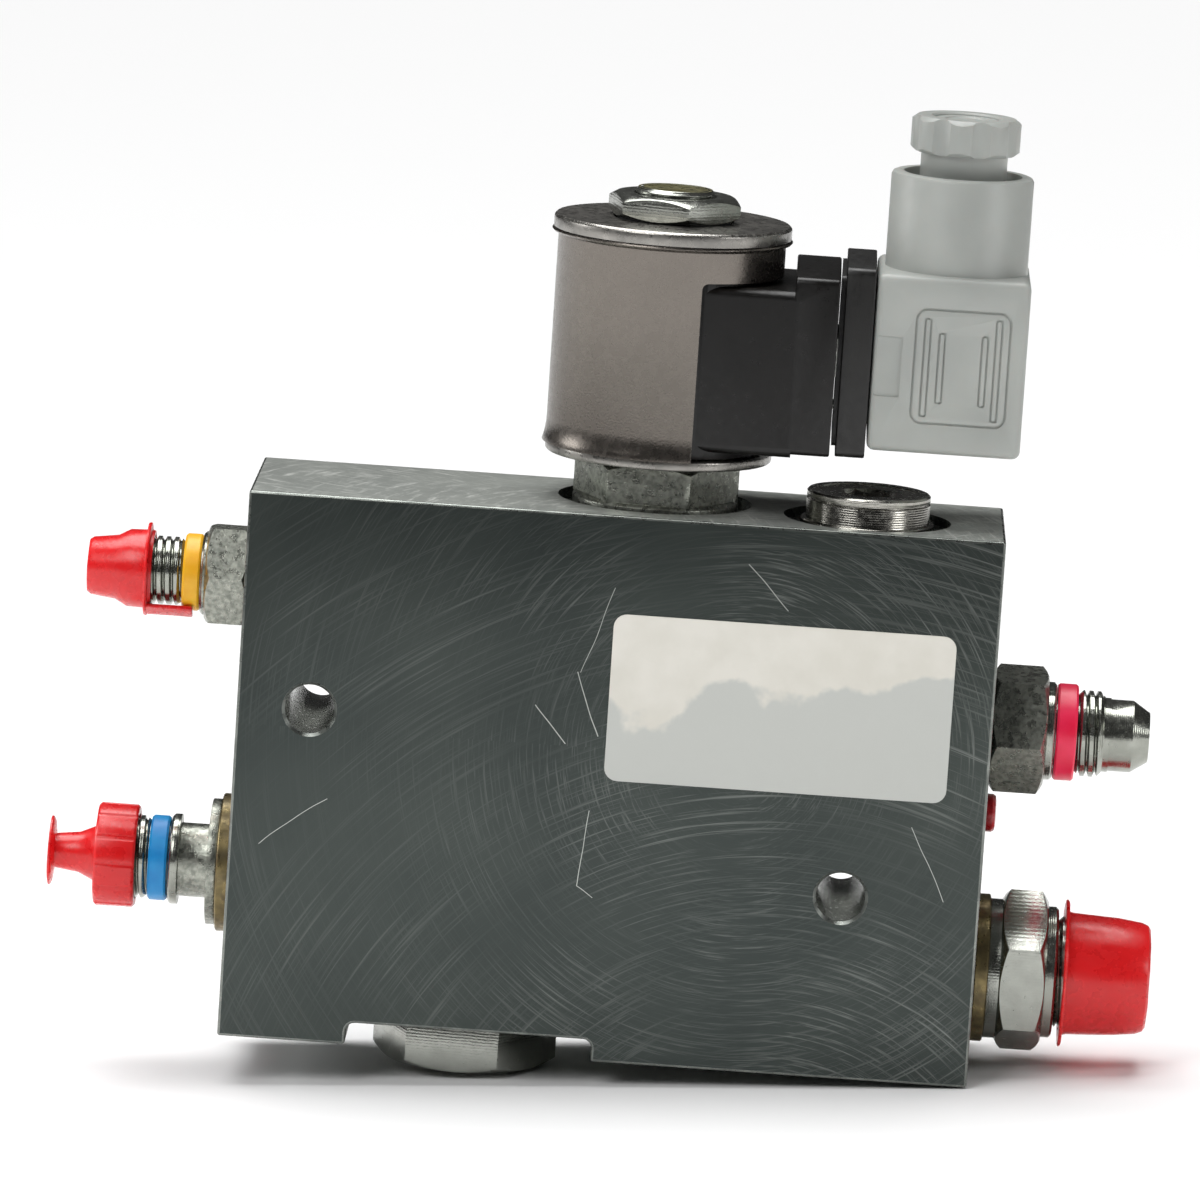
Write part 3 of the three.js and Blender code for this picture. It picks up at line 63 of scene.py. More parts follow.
SMALL = 48
SMOOTH_ANGLE = math.radians(32)
SQUARE_ON = 0.98  # how much of a normal lies along an axis on a face square to it
SKIN = 0.1  # how near a surface a face counts as part of it
OVERRUN = 5  # how far a cutter runs past what it cuts
RELIEF_M = 0.1 * MM  # the depth that a bump of strength 1 stands for
WAVE_SCALE = 0.314  # a Wave texture's scale times its line spacing in metres
MIX_COLOUR_SOCKETS = {"Factor": 0, "A": 6, "B": 7}
MIX_COLOUR_OUTPUT = 2

Profile = Sequence[tuple[float, float]]
Piece = bpy.types.Object


# ---------------------------------------------------------------- where the frame is
def low(node: str) -> Vector:
    """The lowest corner of a CAD node, in mm."""
    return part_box(node)[0] / MM


def high(node: str) -> Vector:
    """The highest corner of a CAD node, in mm."""
    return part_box(node)[1] / MM


def centre(node: str) -> Vector:
    """The middle of a CAD node's box, in mm."""
    return (low(node) + high(node)) / 2


def opening(name: str) -> Vector:
    """The middle of one of the record's openings, in mm.

    Args:
        name: The opening's name in the record.

    Returns:
        The middle of its box.
    """
    boxes = {row["name"]: row["box_m"] for row in frame["record"]["physics"]["openings"]}
    lower, upper = boxes[name]
    return (Vector(lower) + Vector(upper)) / 2 / MM


# ---------------------------------------------------------------- the workshop
def deselect() -> None:
    """Leaves object mode with nothing selected."""
    if bpy.context.object and bpy.context.object.mode != "OBJECT":
        bpy.ops.object.mode_set(mode="OBJECT")
    bpy.ops.object.select_all(action="DESELECT")


def hold(obj: Piece) -> None:
    """Makes one object the only selected one and the active one."""
    deselect()
    obj.select_set(True)
    bpy.context.view_layer.objects.active = obj


def edit(obj: Piece, selected: bool = True) -> None:
    """Opens an object in edit mode, with all of it or none of it selected."""
    hold(obj)
    bpy.ops.object.mode_set(mode="EDIT")
    bpy.ops.mesh.select_all(action="SELECT" if selected else "DESELECT")


def close_edit() -> Piece:
    """Goes back to object mode, with the object's place put into its mesh."""
    bpy.ops.object.mode_set(mode="OBJECT")
    bpy.ops.object.transform_apply(location=True, rotation=True, scale=True)
    return bpy.context.object


def turn(profile: Profile, sides: int = ROUND, ring: bool = False) -> Piece:
    """Draws a circle and extrudes and scales it through a profile round Z, as on a lathe.

    Args:
        profile: (radius, height) points in mm.
        sides: Steps round the circle.
        ring: The profile closes on itself and leaves a bore, so no end is filled.

    Returns:
        The turned object.
    """
    deselect()
    radius, height = profile[0]
    fill = "NOTHING" if ring else "NGON"
    bpy.ops.mesh.primitive_circle_add(vertices=sides, radius=radius * MM, fill_type=fill,
                                      location=(0, 0, height * MM))
    bpy.ops.object.mode_set(mode="EDIT")
    bpy.ops.mesh.select_all(action="SELECT")
    for next_radius, next_height in [*profile[1:], *(profile[:1] if ring else [])]:
        rise = (next_height - height) * MM
        bpy.ops.mesh.extrude_region_move(TRANSFORM_OT_translate={"value": (0, 0, rise)})
        share = next_radius / radius
        bpy.ops.transform.resize(value=(share, share, 1), center_override=(0, 0, next_height * MM))
        radius, height = next_radius, next_height
    bpy.ops.mesh.select_all(action="SELECT")
    bpy.ops.mesh.remove_doubles(threshold=1e-7)
    bpy.ops.mesh.normals_make_consistent(inside=False)
    return close_edit()


def block(lower: Sequence[float], upper: Sequence[float], round_mm: float = 0.0, steps: int = 3) -> Piece:
    """Adds a box between two corners in mm, with all of its edges rounded.

    Args:
        lower: The lowest corner.
        upper: The highest corner.
        round_mm: The edge radius, or 0 for sharp edges.
        steps: Segments across each rounded edge.

    Returns:
        The box.
    """
    deselect()
    middle = [(a + b) / 2 * MM for a, b in zip(lower, upper)]
    size = [(b - a) * MM for a, b in zip(lower, upper)]
    bpy.ops.mesh.primitive_cube_add(size=1, location=middle, scale=size)
    bpy.ops.object.transform_apply(location=True, rotation=True, scale=True)
    if round_mm:
        bpy.ops.object.mode_set(mode="EDIT")
        bpy.ops.mesh.select_all(action="SELECT")
        bpy.ops.mesh.bevel(offset=round_mm * MM, segments=steps, affect="EDGES")
    return close_edit()


def bevel_along(obj: Piece, axis: int, round_mm: float, steps: int = 4) -> Piece:
    """Rounds only the edges of a box that run along one axis.

    Args:
        obj: The box.
        axis: 0, 1 or 2 for X, Y or Z.
        round_mm: The edge radius.
        steps: Segments across each rounded edge.

    Returns:
        The same box.
    """
    edit(obj, selected=False)
    bpy.ops.mesh.select_mode(type="EDGE")
    bpy.ops.object.mode_set(mode="OBJECT")
    points = obj.data.vertices
    for line in obj.data.edges:
        way = (points[line.vertices[1]].co - points[line.vertices[0]].co).normalized()
        line.select = abs(way[axis]) > 0.99
    bpy.ops.object.mode_set(mode="EDIT")
    bpy.ops.mesh.bevel(offset=round_mm * MM, segments=steps, affect="EDGES")
    bpy.ops.mesh.select_mode(type="VERT")
    return close_edit()


def combine(obj: Piece, tool: Piece, how: str = "DIFFERENCE") -> Piece:
    """Cuts, joins or intersects an object with a tool, which is used up.

    Args:
        obj: The object that stays.
        tool: The object that shapes it.
        how: DIFFERENCE, UNION or INTERSECT.

    Returns:
        The shaped object.
    """
    hold(obj)
    bpy.ops.object.modifier_add(type="BOOLEAN")
    work = obj.modifiers[-1]
    work.operation = how
    work.solver = "EXACT"
    work.object = tool
    bpy.ops.object.modifier_apply(modifier=work.name)
    bpy.data.objects.remove(tool)
    return obj


def soften(obj: Piece, width_mm: float, steps: int = 2, angle: float = 40) -> Piece:
    """Breaks the sharp edges of a finished shape.

    Args:
        obj: The object.
        width_mm: The width of the broken edge.
        steps: Segments across it.
        angle: Only edges sharper than this many degrees are broken.

    Returns:
        The same object.
    """
    hold(obj)
    bpy.ops.object.modifier_add(type="BEVEL")
    work = obj.modifiers[-1]
    work.width = width_mm * MM
    work.segments = steps
    work.limit_method = "ANGLE"
    work.angle_limit = math.radians(angle)
    bpy.ops.object.modifier_apply(modifier=work.name)
    return obj


def join(first: Piece, *others: Piece) -> Piece:
    """Joins separate shells into the first object's mesh."""
    hold(first)
    for other in others:
        other.select_set(True)
    bpy.ops.object.join()
    return first


def place(obj: Piece, matrix: Matrix) -> Piece:
    """Moves an object's mesh by a matrix in mm, so that the object itself stays at the origin."""
    moved = matrix.copy()
    moved.translation = matrix.translation * MM
    obj.data.transform(moved)
    obj.data.update()
    return obj


def hexagon(flats: float, corner: float, bottom: float, top: float,
            ends: tuple[bool, bool] = (True, True)) -> Piece:
    """A hexagon bar along Z, its corners turned off at 30 degrees.

    Args:
        flats: Width across flats in mm.
        corner: Angle of a corner, in degrees from X.
        bottom: Lower end in mm.
        top: Upper end in mm.
        ends: Which of the lower and the upper end is chamfered.

    Returns:
        The bar.
    """
    deselect()
    radius = flats / math.sqrt(3)
    spin = math.radians(corner - 90)
    spot = (0, 0, (bottom + top) / 2 * MM)
    bpy.ops.mesh.primitive_cylinder_add(vertices=6, radius=radius * MM, depth=(top - bottom) * MM,
                                        location=spot, rotation=(0, 0, spin))
    bpy.ops.object.transform_apply(location=True, rotation=True, scale=True)
    bar = bpy.context.object
    face = flats / 2 - 0.35
    reach = radius + 0.1
    drop = (reach - face) * math.tan(math.radians(30))
    barrel = [(face, bottom), (reach, bottom + drop)] if ends[0] else [(reach, bottom - 1)]
    barrel += [(reach, top - drop), (face, top)] if ends[1] else [(reach, top + 1)]
    return combine(bar, turn(barrel, FINE), "INTERSECT")


def thread(root: float, crest: float, bottom: float, top: float, pitch: float, lead: float = 0.8) -> Piece:
    """A helical ridge round Z, trimmed by a chamfered envelope at both ends.

    Args:
        root: Root radius in mm.
        crest: Crest radius in mm.
        bottom: Where the thread starts, in mm.
        top: Where it ends, in mm.
        pitch: Rise of one turn in mm.
        lead: Length of the chamfer at each end in mm.

    Returns:
        The ridge, which overlaps the core that it is joined to.
    """
    deselect()
    turns = math.ceil((top - bottom) / pitch) + 2
    depth = crest - root
    start = (root * MM, 0, (bottom - pitch) * MM)
    bpy.ops.mesh.primitive_circle_add(vertices=6, radius=1, fill_type="NOTHING", location=(0, 0, 0),
                                      rotation=(math.pi / 2, 0, 0))
    bpy.ops.object.transform_apply(location=True, rotation=True, scale=True)
    bpy.ops.object.mode_set(mode="EDIT")
    bpy.ops.mesh.select_all(action="SELECT")
    bpy.ops.transform.resize(value=(depth / math.cos(math.pi / 6) * MM, 1, pitch * 0.47 * MM),
                             center_override=(0, 0, 0))
    bpy.ops.transform.translate(value=start)
    ridge = close_edit()
    bpy.ops.object.modifier_add(type="SCREW")
    work = ridge.modifiers[-1]
    work.axis = "Z"
    work.screw_offset = pitch * MM
    work.iterations = turns
    work.steps = work.render_steps = SMALL
    work.use_merge_vertices = False
    bpy.ops.object.modifier_apply(modifier=work.name)
    edit(ridge, selected=False)
    bpy.ops.mesh.select_non_manifold()
    bpy.ops.mesh.fill()
    bpy.ops.mesh.select_all(action="SELECT")
    bpy.ops.mesh.normals_make_consistent(inside=False)
    close_edit()
    inner = root - depth * 2
    envelope = turn([(inner, bottom), (root, bottom), (crest, bottom + lead), (crest, top - lead),
                     (root, top), (inner, top)],
                    ROUND)
    return combine(ridge, envelope, "INTERSECT")


def crumple(obj: Piece, grain_mm: float, height_mm: float, seed_shift: float = 0.0) -> Piece:
    """Pushes a moulded skin in and out a little, as thin warm plastic sets.

    Args:
        obj: The object.
        grain_mm: Size of the dents.
        height_mm: Height from dent to bulge.
        seed_shift: Where in the noise the piece is taken from, in mm.

    Returns:
        The same object.
    """
    obj.data.transform(Matrix.Translation((seed_shift * MM, 0, 0)))
    hold(obj)
    bpy.ops.object.modifier_add(type="DISPLACE")
    work = obj.modifiers[-1]
    clouds = bpy.data.textures.new("moulding_dents", "CLOUDS")
    clouds.noise_scale = grain_mm * MM
    work.texture = clouds
    work.strength = height_mm * MM
    work.mid_level = 0.5
    bpy.ops.object.modifier_apply(modifier=work.name)
    obj.data.transform(Matrix.Translation((-seed_shift * MM, 0, 0)))
    return obj


# ---------------------------------------------------------------- finishes
def linear(code: str) -> tuple[float, float, float, float]:
    """Turns an sRGB hex colour into Blender's linear colour.

    Args:
        code: Six hex digits.

    Returns:
        Linear red, green, blue and alpha.
    """
    parts = [int(code[i:i + 2], 16) / 255 for i in (0, 2, 4)]
    red, green, blue = [p / 12.92 if p <= 0.04045 else ((p + 0.055) / 1.055) ** 2.4 for p in parts]
    return (red, green, blue, 1.0)


def add(tree: bpy.types.NodeTree, kind: str, settings: Optional[dict] = None,
        links: Optional[dict] = None) -> bpy.types.Node:
    """Adds one node.

    Args:
        tree: The material's node tree.
        kind: The node's type, without ShaderNode.
        settings: Attributes of the node.
        links: Inputs by name or number: a value, or an output socket to link.

    Returns:
        The node.
    """
    node = tree.nodes.new("ShaderNode" + kind)
    for name, value in (settings or {}).items():
        setattr(node, name, value)
    for name, value in (links or {}).items():
        if isinstance(value, bpy.types.NodeSocket):
            tree.links.new(value, node.inputs[name])
        else:
            node.inputs[name].default_value = value
    return node


class Way(Enum):
    """The direction that tool marks or mould lines are spaced along."""

    X = "X"
    Y = "Y"
    Z = "Z"


@dataclass(frozen=True)
class Finish:
    """A surface: colour that drifts, roughness that drifts, a grain in relief and optional tool marks."""

    name: str
    colour: str
    tint: str
    metallic: float = 0.0
    roughness: float = 0.5
    spread: float = 0.1
    stain_mm: float = 9.0
    grain_mm: float = 0.4
    grain: float = 0.1
    marks_mm: float = 0.0
    marks: float = 0.0
    marks_way: Way = Way.Z
    coat: float = 0.0
    subsurface: float = 0.0
    transmission: float = 0.0
    anisotropic: float = 0.0
    ior: float = 1.5

    def start(self) -> tuple[bpy.types.Material, bpy.types.NodeTree, bpy.types.Node, bpy.types.NodeSocket]:
        """Makes the material with its constant sockets set.

        Returns:
            The material, its tree, its shader and the object coordinates.
        """
        material = bpy.data.materials.new(self.name)
        material.use_nodes = True
        tree = material.node_tree
        tree.nodes.clear()
        shader = add(tree, "BsdfPrincipled", links={"Metallic": self.metallic})
        if not self.metallic:
            shader.inputs["IOR"].default_value = self.ior
        shader.inputs["Coat Weight"].default_value = self.coat
        shader.inputs["Coat Roughness"].default_value = 0.12
        shader.inputs["Transmission Weight"].default_value = self.transmission
        shader.inputs["Anisotropic"].default_value = self.anisotropic
        if self.subsurface:
            shader.inputs["Subsurface Weight"].default_value = self.subsurface
            shader.inputs["Subsurface Radius"].default_value = (1.0, 0.3, 0.2)
            shader.inputs["Subsurface Scale"].default_value = 1.5 * MM
        add(tree, "OutputMaterial", links={"Surface": shader.outputs["BSDF"]})
        coordinates = add(tree, "TexCoord").outputs["Object"]
        return material, tree, shader, coordinates

    def noise(self, tree: bpy.types.NodeTree, at: bpy.types.NodeSocket, size_mm: float,
              detail: float = 4.0) -> bpy.types.NodeSocket:
        """A noise with features of a real size.

        Args:
            tree: The node tree.
            at: Where it is read.
            size_mm: The size of its features.
            detail: Its octaves.

        Returns:
            Its factor.
        """
        return add(tree, "TexNoise",
                   links={"Vector": at, "Scale": 1 / (size_mm * MM), "Detail": detail}).outputs["Fac"]

    def colour_of(self, tree: bpy.types.NodeTree, at: bpy.types.NodeSocket) -> bpy.types.NodeSocket:
        """The colour, which drifts between its two shades."""
        drift = add(tree, "MapRange",
                    links={"Value": self.noise(tree, at, self.stain_mm), "From Min": 0.35,
                           "From Max": 0.65})
        both = {"Factor": drift.outputs["Result"], "A": linear(self.colour), "B": linear(self.tint)}
        return mix(tree, both)

    def relief(self, tree: bpy.types.NodeTree, at: bpy.types.NodeSocket) -> bpy.types.NodeSocket:
        """The height of the grain and the tool marks, as a bumped normal."""
        height = self.noise(tree, at, self.grain_mm, 2.0)
        bump = add(tree, "Bump", links={"Height": height, "Strength": self.grain, "Distance": RELIEF_M})
        if not self.marks:
            return bump.outputs["Normal"]
        wave = add(tree, "TexWave", {"bands_direction": self.marks_way.value},
                   {"Vector": at, "Scale": WAVE_SCALE / (self.marks_mm * MM), "Distortion": 1.2,
                    "Detail": 2.0, "Detail Scale": 1.0},)
        lines = {"Height": wave.outputs["Fac"], "Strength": self.marks, "Distance": RELIEF_M,
                 "Normal": bump.outputs["Normal"]}
        return add(tree, "Bump", links=lines).outputs["Normal"]

    def make(self) -> bpy.types.Material:
        """Builds the material.

        Returns:
            The finished material.
        """
        material, tree, shader, at = self.start()
        tree.links.new(self.colour_of(tree, at), shader.inputs["Base Color"])
        drift = {"Value": self.noise(tree, at, self.grain_mm * 4), "From Min": 0.3, "From Max": 0.7}
        drift |= {"To Min": max(self.roughness - self.spread, 0.03), "To Max": self.roughness + self.spread}
        tree.links.new(add(tree, "MapRange", links=drift).outputs["Result"], shader.inputs["Roughness"])
        tree.links.new(self.relief(tree, at), shader.inputs["Normal"])
        return material


def mix(tree: bpy.types.NodeTree, links: dict) -> bpy.types.NodeSocket:
    """Mixes two colours.

    Args:
        tree: The node tree.
        links: Factor, A and B.

    Returns:
        The mixed colour.
    """
    node = add(tree, "Mix", {"data_type": "RGBA"})
    for name, number in MIX_COLOUR_SOCKETS.items():
        value = links[name]
        if isinstance(value, bpy.types.NodeSocket):
            tree.links.new(value, node.inputs[number])
        else:
            node.inputs[number].default_value = value
    return node.outputs[MIX_COLOUR_OUTPUT]


Spot = tuple[float, float, float]


@dataclass(frozen=True)
class MilledFinish(Finish):
    """Milled steel: a fly cutter leaves fine broken arcs, and handling leaves hairline scratches."""

    centres: tuple[Spot, ...] = ()
    arc_mm: float = 0.5
    arc_breaks: float = 5.0
    arcs: float = 0.5
    arc_depth: float = 0.12
    faint: float = 0.35
    around: Way = Way.Y
    bright: str = "B9BDB8"
    scratches: tuple[tuple[Spot, Spot, float], ...] = ()

    def arc_lines(self, tree: bpy.types.NodeTree, at: bpy.types.NodeSocket,
                  number: int) -> bpy.types.NodeSocket:
        """Fine cutter arcs round one centre: noise drawn out along the arcs, shown in broad patches.

        Args:
            tree: The node tree.
            at: Object coordinates.
            number: Which centre.

        Returns:
            The strength of the arcs.
        """
        shift = tuple(-value * MM for value in self.centres[number])
        moved = add(tree, "VectorMath", {"operation": "ADD"}, {0: at, 1: shift}).outputs["Vector"]
        parts = add(tree, "SeparateXYZ", links={"Vector": moved}).outputs
        across, up = parts["X"], parts["Z" if self.around is Way.Y else "Y"]
        flat = add(tree, "CombineXYZ", links={"X": across, "Y": up}).outputs["Vector"]
        radius = add(tree, "VectorMath", {"operation": "LENGTH"}, {0: flat}).outputs["Value"]
        angle = add(tree, "Math", {"operation": "ARCTAN2"}, {0: up, 1: across}).outputs[0]
        pitch = self.arc_mm * (1 + 0.3 * number) * MM
        rings = add(tree, "Math", {"operation": "DIVIDE"}, {0: radius, 1: pitch}).outputs[0]
        stretch = add(tree, "Math", {"operation": "MULTIPLY"}, {0: angle, 1: self.arc_breaks}).outputs[0]
        drawn = add(tree, "CombineXYZ", links={"X": rings, "Y": stretch, "Z": number * 7.0}).outputs["Vector"]
        lines = add(tree, "TexNoise",
                    links={"Vector": drawn, "Scale": 1.0, "Detail": 3.0, "Roughness": 0.7}).outputs["Fac"]
        crest = add(tree, "MapRange",
                    links={"Value": lines, "From Min": 0.52, "From Max": 0.74}).outputs["Result"]
        broad = {"Value": self.noise(tree, moved, 38, 1.0), "From Min": 0.36, "From Max": 0.66,
                 "To Min": 0.12}
        patch = add(tree, "MapRange", {"interpolation_type": "SMOOTHSTEP"}, broad).outputs["Result"]
        worn = add(tree, "Math", {"operation": "MULTIPLY"}, {0: crest, 1: patch}).outputs[0]
        right = add(tree, "SeparateXYZ", links={"Vector": at}).outputs["X"]
        span = {"Value": right, "From Min": -40 * MM, "From Max": 35 * MM, "To Min": self.faint,
                "To Max": 1.0}
        share = add(tree, "MapRange", {"interpolation_type": "SMOOTHSTEP"}, span).outputs["Result"]
        return add(tree, "Math", {"operation": "MULTIPLY"}, {0: worn, 1: share}).outputs[0]

    def scratch(self, tree: bpy.types.NodeTree, at: bpy.types.NodeSocket,
                mark: tuple[Spot, Spot, float]) -> bpy.types.NodeSocket:
        """A hairline from one point to another.

        Args:
            tree: The node tree.
            at: Object coordinates, a little bent.
            mark: The two ends and the width in mm.

        Returns:
            1 on the line and 0 off it.
        """
        start, end = Vector(mark[0]) * MM, Vector(mark[1]) * MM
        way = end - start
        out = add(tree, "VectorMath", {"operation": "SUBTRACT"}, {0: at, 1: tuple(start)}).outputs["Vector"]
        dot = add(tree, "VectorMath", {"operation": "DOT_PRODUCT"},
                  {0: out, 1: tuple(way / way.length_squared)}).outputs["Value"]
        share = add(tree, "Clamp", links={"Value": dot}).outputs["Result"]
        foot = add(tree, "VectorMath", {"operation": "SCALE"},
                   {0: tuple(way), "Scale": share}).outputs["Vector"]
        gap = add(tree, "VectorMath", {"operation": "DISTANCE"}, {0: out, 1: foot}).outputs["Value"]
        edge = {"Value": gap, "From Min": mark[2] * 0.5 * MM, "From Max": mark[2] * MM, "To Min": 1.0,
                "To Max": 0.0}
        return add(tree, "MapRange", links=edge).outputs["Result"]

    def make(self) -> bpy.types.Material:
        """Builds the material.

        Returns:
            The finished material.
        """
        material, tree, shader, at = self.start()
        total = self.arc_lines(tree, at, 0)
        for number in range(1, len(self.centres)):
            more = self.arc_lines(tree, at, number)
            total = add(tree, "Math", {"operation": "MAXIMUM"}, {0: total, 1: more}).outputs[0]
        arcs = add(tree, "Math", {"operation": "MULTIPLY"}, {0: total, 1: self.arcs}).outputs[0]
        colour = mix(tree, {"Factor": arcs, "A": self.colour_of(tree, at), "B": linear(self.bright)})
        wander = add(tree, "TexNoise",
                     links={"Vector": at, "Scale": 1 / (9 * MM), "Detail": 1.0}).outputs["Color"]
        bend = {0: wander, 1: (1.2 * MM, 0, 1.2 * MM), 2: at}
        bent = add(tree, "VectorMath", {"operation": "MULTIPLY_ADD"}, bend).outputs["Vector"]
        for mark in self.scratches:
            colour = mix(tree,
                         {"Factor": self.scratch(tree, bent, mark), "A": colour, "B": linear(self.bright)})
        tree.links.new(colour, shader.inputs["Base Color"])
        speckle = {"Value": self.noise(tree, at, self.grain_mm), "From Min": 0.3, "From Max": 0.7}
        speckle |= {"To Min": self.roughness - self.spread, "To Max": self.roughness + self.spread}
        tree.links.new(add(tree, "MapRange", links=speckle).outputs["Result"], shader.inputs["Roughness"])
        grained = self.relief(tree, at)
        cut = {"Height": total, "Strength": self.arc_depth, "Distance": RELIEF_M, "Normal": grained}
        tree.links.new(add(tree, "Bump", links=cut).outputs["Normal"], shader.inputs["Normal"])
        return material


# Darker towards the bottom: grey below a soft ragged line that rises to the right.
@dataclass(frozen=True)
class LabelGreyBelowFinish(Finish):
    """Cream label stock, grey in irregular patches over its lower part."""

    patch: str = "C6C8C3"
    patch_top_mm: float = 14.0
    ragged_mm: float = 22.0
    rise: float = 0.12

    def colour_of(self, tree: bpy.types.NodeTree, at: bpy.types.NodeSocket) -> bpy.types.NodeSocket:
        """Cream above and grey below, along a soft ragged line that rises to the right."""
        parts = add(tree, "SeparateXYZ", links={"Vector": at}).outputs
        slope = add(tree, "Math", {"operation": "MULTIPLY_ADD"},
                    {0: parts["X"], 1: -self.rise, 2: parts["Z"]}).outputs[0]
        ragged = add(tree, "Math", {"operation": "MULTIPLY_ADD"},
                     {0: self.noise(tree, at, 13, 4.0), 1: self.ragged_mm * MM, 2: slope}).outputs[0]
        middle = self.patch_top_mm + self.ragged_mm / 2
        edge = {"Value": ragged, "From Min": (middle + 0.9) * MM, "From Max": (middle - 0.9) * MM}
        below = add(tree, "MapRange", {"interpolation_type": "SMOOTHSTEP"}, edge).outputs["Result"]
        creased = super().colour_of(tree, at)
        return mix(tree, {"Factor": below, "A": creased, "B": linear(self.patch)})


# Milled, zinc plated: a dark green-grey sheen painted in as shade. This is the shaded copy of the plating and
# stands for the dark room that the front reflects. It lies under fine light cutter arcs, strongest to the
# right.
BLOCK_FRONT_PAINTED_SHADE = MilledFinish(
    "milled_zinc_plated_steel_front_painted_shade", "3D4341", "474D4A", 0.8, 0.34, 0.05, 40, 0.2, 0.08,
    centres=((21, 0, 7), (30, 0, -75)), arc_mm=0.42, arc_breaks=2.6, arcs=0.42,
    scratches=(((-0.5, -38, 34.5), (-5.5, -38, 20.0), 0.07), ((-6.0, -38, 20.0), (-2.0, -38, 9.5), 0.1),
               ((-2.5, -38, -3.0), (-3.8, -38, -16.0), 0.08), ((-3.8, -38, -16.0), (-1.2, -38, -17.6), 0.07),
               ((-46.0, -38, -4.0), (-57.0, -38, -12.5), 0.07), ((-12.5, -38, 14.0), (-7.0, -38, 8.0), 0.1),
               ((28.0, -38, 33.0), (21.0, -38, 40.0), 0.1), ((51.0, -38, -2.0), (57.0, -38, -14.0), 0.07)))
# The same plating on the coarser cut of the top, painted as a lit copy: pale where the light from above
# falls. It lies under broad arcs, which are real cutter marks painted near white as highlights.
BLOCK_TOP_PAINTED_LIGHT = MilledFinish("milled_zinc_plated_steel_top_painted_light", "A0A49F", "AEB2AC", 0.5, 0.34, 0.05, 16, 0.22, 0.1,
                         centres=((-66, -52, 0), (-20, 30, 0), (44, -58, 0)), around=Way.Z, arc_mm=0.9,
                         arc_breaks=9.0, arcs=0.95, arc_depth=0.3, faint=1.0, bright="F0F2EC")
# Sawn ends and slot: dull grey with straight saw lines.
BLOCK_SIDE = Finish("sawn_zinc_plated_steel_sides", "5C615E", "70746F", 0.8, 0.38, 0.08, 12, 0.3, 0.2, 0.9,
                    0.12, Way.Z)
# Fresh bores: the brightest steel on the block, with fine tool marks.
BORED = Finish("bored_steel", "C9CBC6", "A5A8A2", 1.0, 0.22, 0.06, 4, 0.2, 0.1, 0.6, 0.35, Way.Y)
# Spotfaces lie in the shade of what screws into them and look dark.
SPOTFACE = Finish("spotfaced_steel", "4C504E", "70746D", 0.85, 0.3, 0.08, 5, 0.2, 0.1, 0.8, 0.2, Way.X)
# Forged hexagons: a coarse grain that glints.
FORGED_ZINC = Finish("zinc_plated_forged_steel", "7F827A", "A8AAA0", 0.9, 0.3, 0.1, 0.8, 0.3, 0.55)
# Painted highlight: a thin pale line on the bevelled outer edges, where light catches them.
PAINTED_EDGE_HIGHLIGHT = Finish("painted_highlight_steel_edge", "8B8F8A", "6E726E", 0.9, 0.3, 0.08, 3, 0.3, 0.1)
# Turned threads and cones: clean and bright, with fine rings.
TURNED_ZINC = Finish("zinc_plated_turned_steel", "A4A69E", "93958D", 0.95, 0.22, 0.07, 3, 0.2, 0.08, 0.35,
                     0.12, Way.X)
# Cold-drawn hexagons: clean bright plating with faint draw lines.
BRIGHT_ZINC = Finish("bright_zinc_plated_steel", "A9ABA4", "9EA099", 0.95, 0.22, 0.06, 3, 0.25, 0.25, 0.5,
                     0.1, Way.Z)
# Yellow chromate on the tube's end: a dull straw tint.
YELLOW_ZINC = Finish("yellow_chromated_steel", "9C9566", "B7B38C", 0.9, 0.3, 0.1, 3, 0.3, 0.15)
# Ground and oiled: smooth bright steel.
GROUND_STEEL = Finish("ground_oiled_steel", "B5B3AC", "98968F", 1.0, 0.22, 0.08, 5, 0.2, 0.06, 0.4, 0.15,
                      Way.Z)
# Drawn wire: smooth and a little darker than the ground steel.
SPRING_WIRE = Finish("drawn_spring_wire", "8A8B88", "6F706D", 1.0, 0.28, 0.06, 2, 0.2, 0.08)
# The phosphated can: warm gunmetal with a long soft highlight.
COIL_STEEL = Finish("satin_phosphated_steel", "6C6761", "756F69", 0.95, 0.27, 0.04, 26, 0.3, 0.2,
                    anisotropic=0.4)
# The coil's plates: paler and more mottled than the can.
COIL_PLATE = Finish("satin_plated_steel_plate", "7F7D79", "989590", 0.9, 0.3, 0.08, 6, 0.3, 0.14)
# Sheared edges of sheet: bare and bright.
CUT_EDGE = Finish("sheared_steel_edge", "C4C2BC", "96938D", 0.95, 0.28, 0.1, 1.2, 0.2, 0.25)
# Moulded nylon: near black with a satin sheen.
NYLON_BLACK = Finish("moulded_black_nylon", "070605", "0D0B0A", 0.0, 0.34, 0.07, 10, 0.25, 0.12, ior=1.42)
# Moulded rubber: near black and duller than the nylon.
GASKET = Finish("moulded_black_rubber", "080706", "0E0D0B", 0.0, 0.42, 0.08, 8, 0.3, 0.18, ior=1.52)
# Seals: matt black.
NITRILE = Finish("moulded_nitrile_rubber", "101010", "1C1C1C", 0.0, 0.55, 0.08, 3, 0.2, 0.2, ior=1.52)
# The connector: even light grey with a soft eggshell sheen.
NYLON_GREY = Finish("moulded_grey_nylon", "9FA29E", "AAADA8", 0.0, 0.42, 0.06, 20, 0.4, 0.08,
                    subsurface=0.06, ior=1.53)
# Unpigmented nylon: cream.
NYLON_NATURAL = Finish("moulded_natural_nylon", "D8D2BE", "CFC8B2", 0.0, 0.45, 0.05, 8, 0.3, 0.1, ior=1.53)
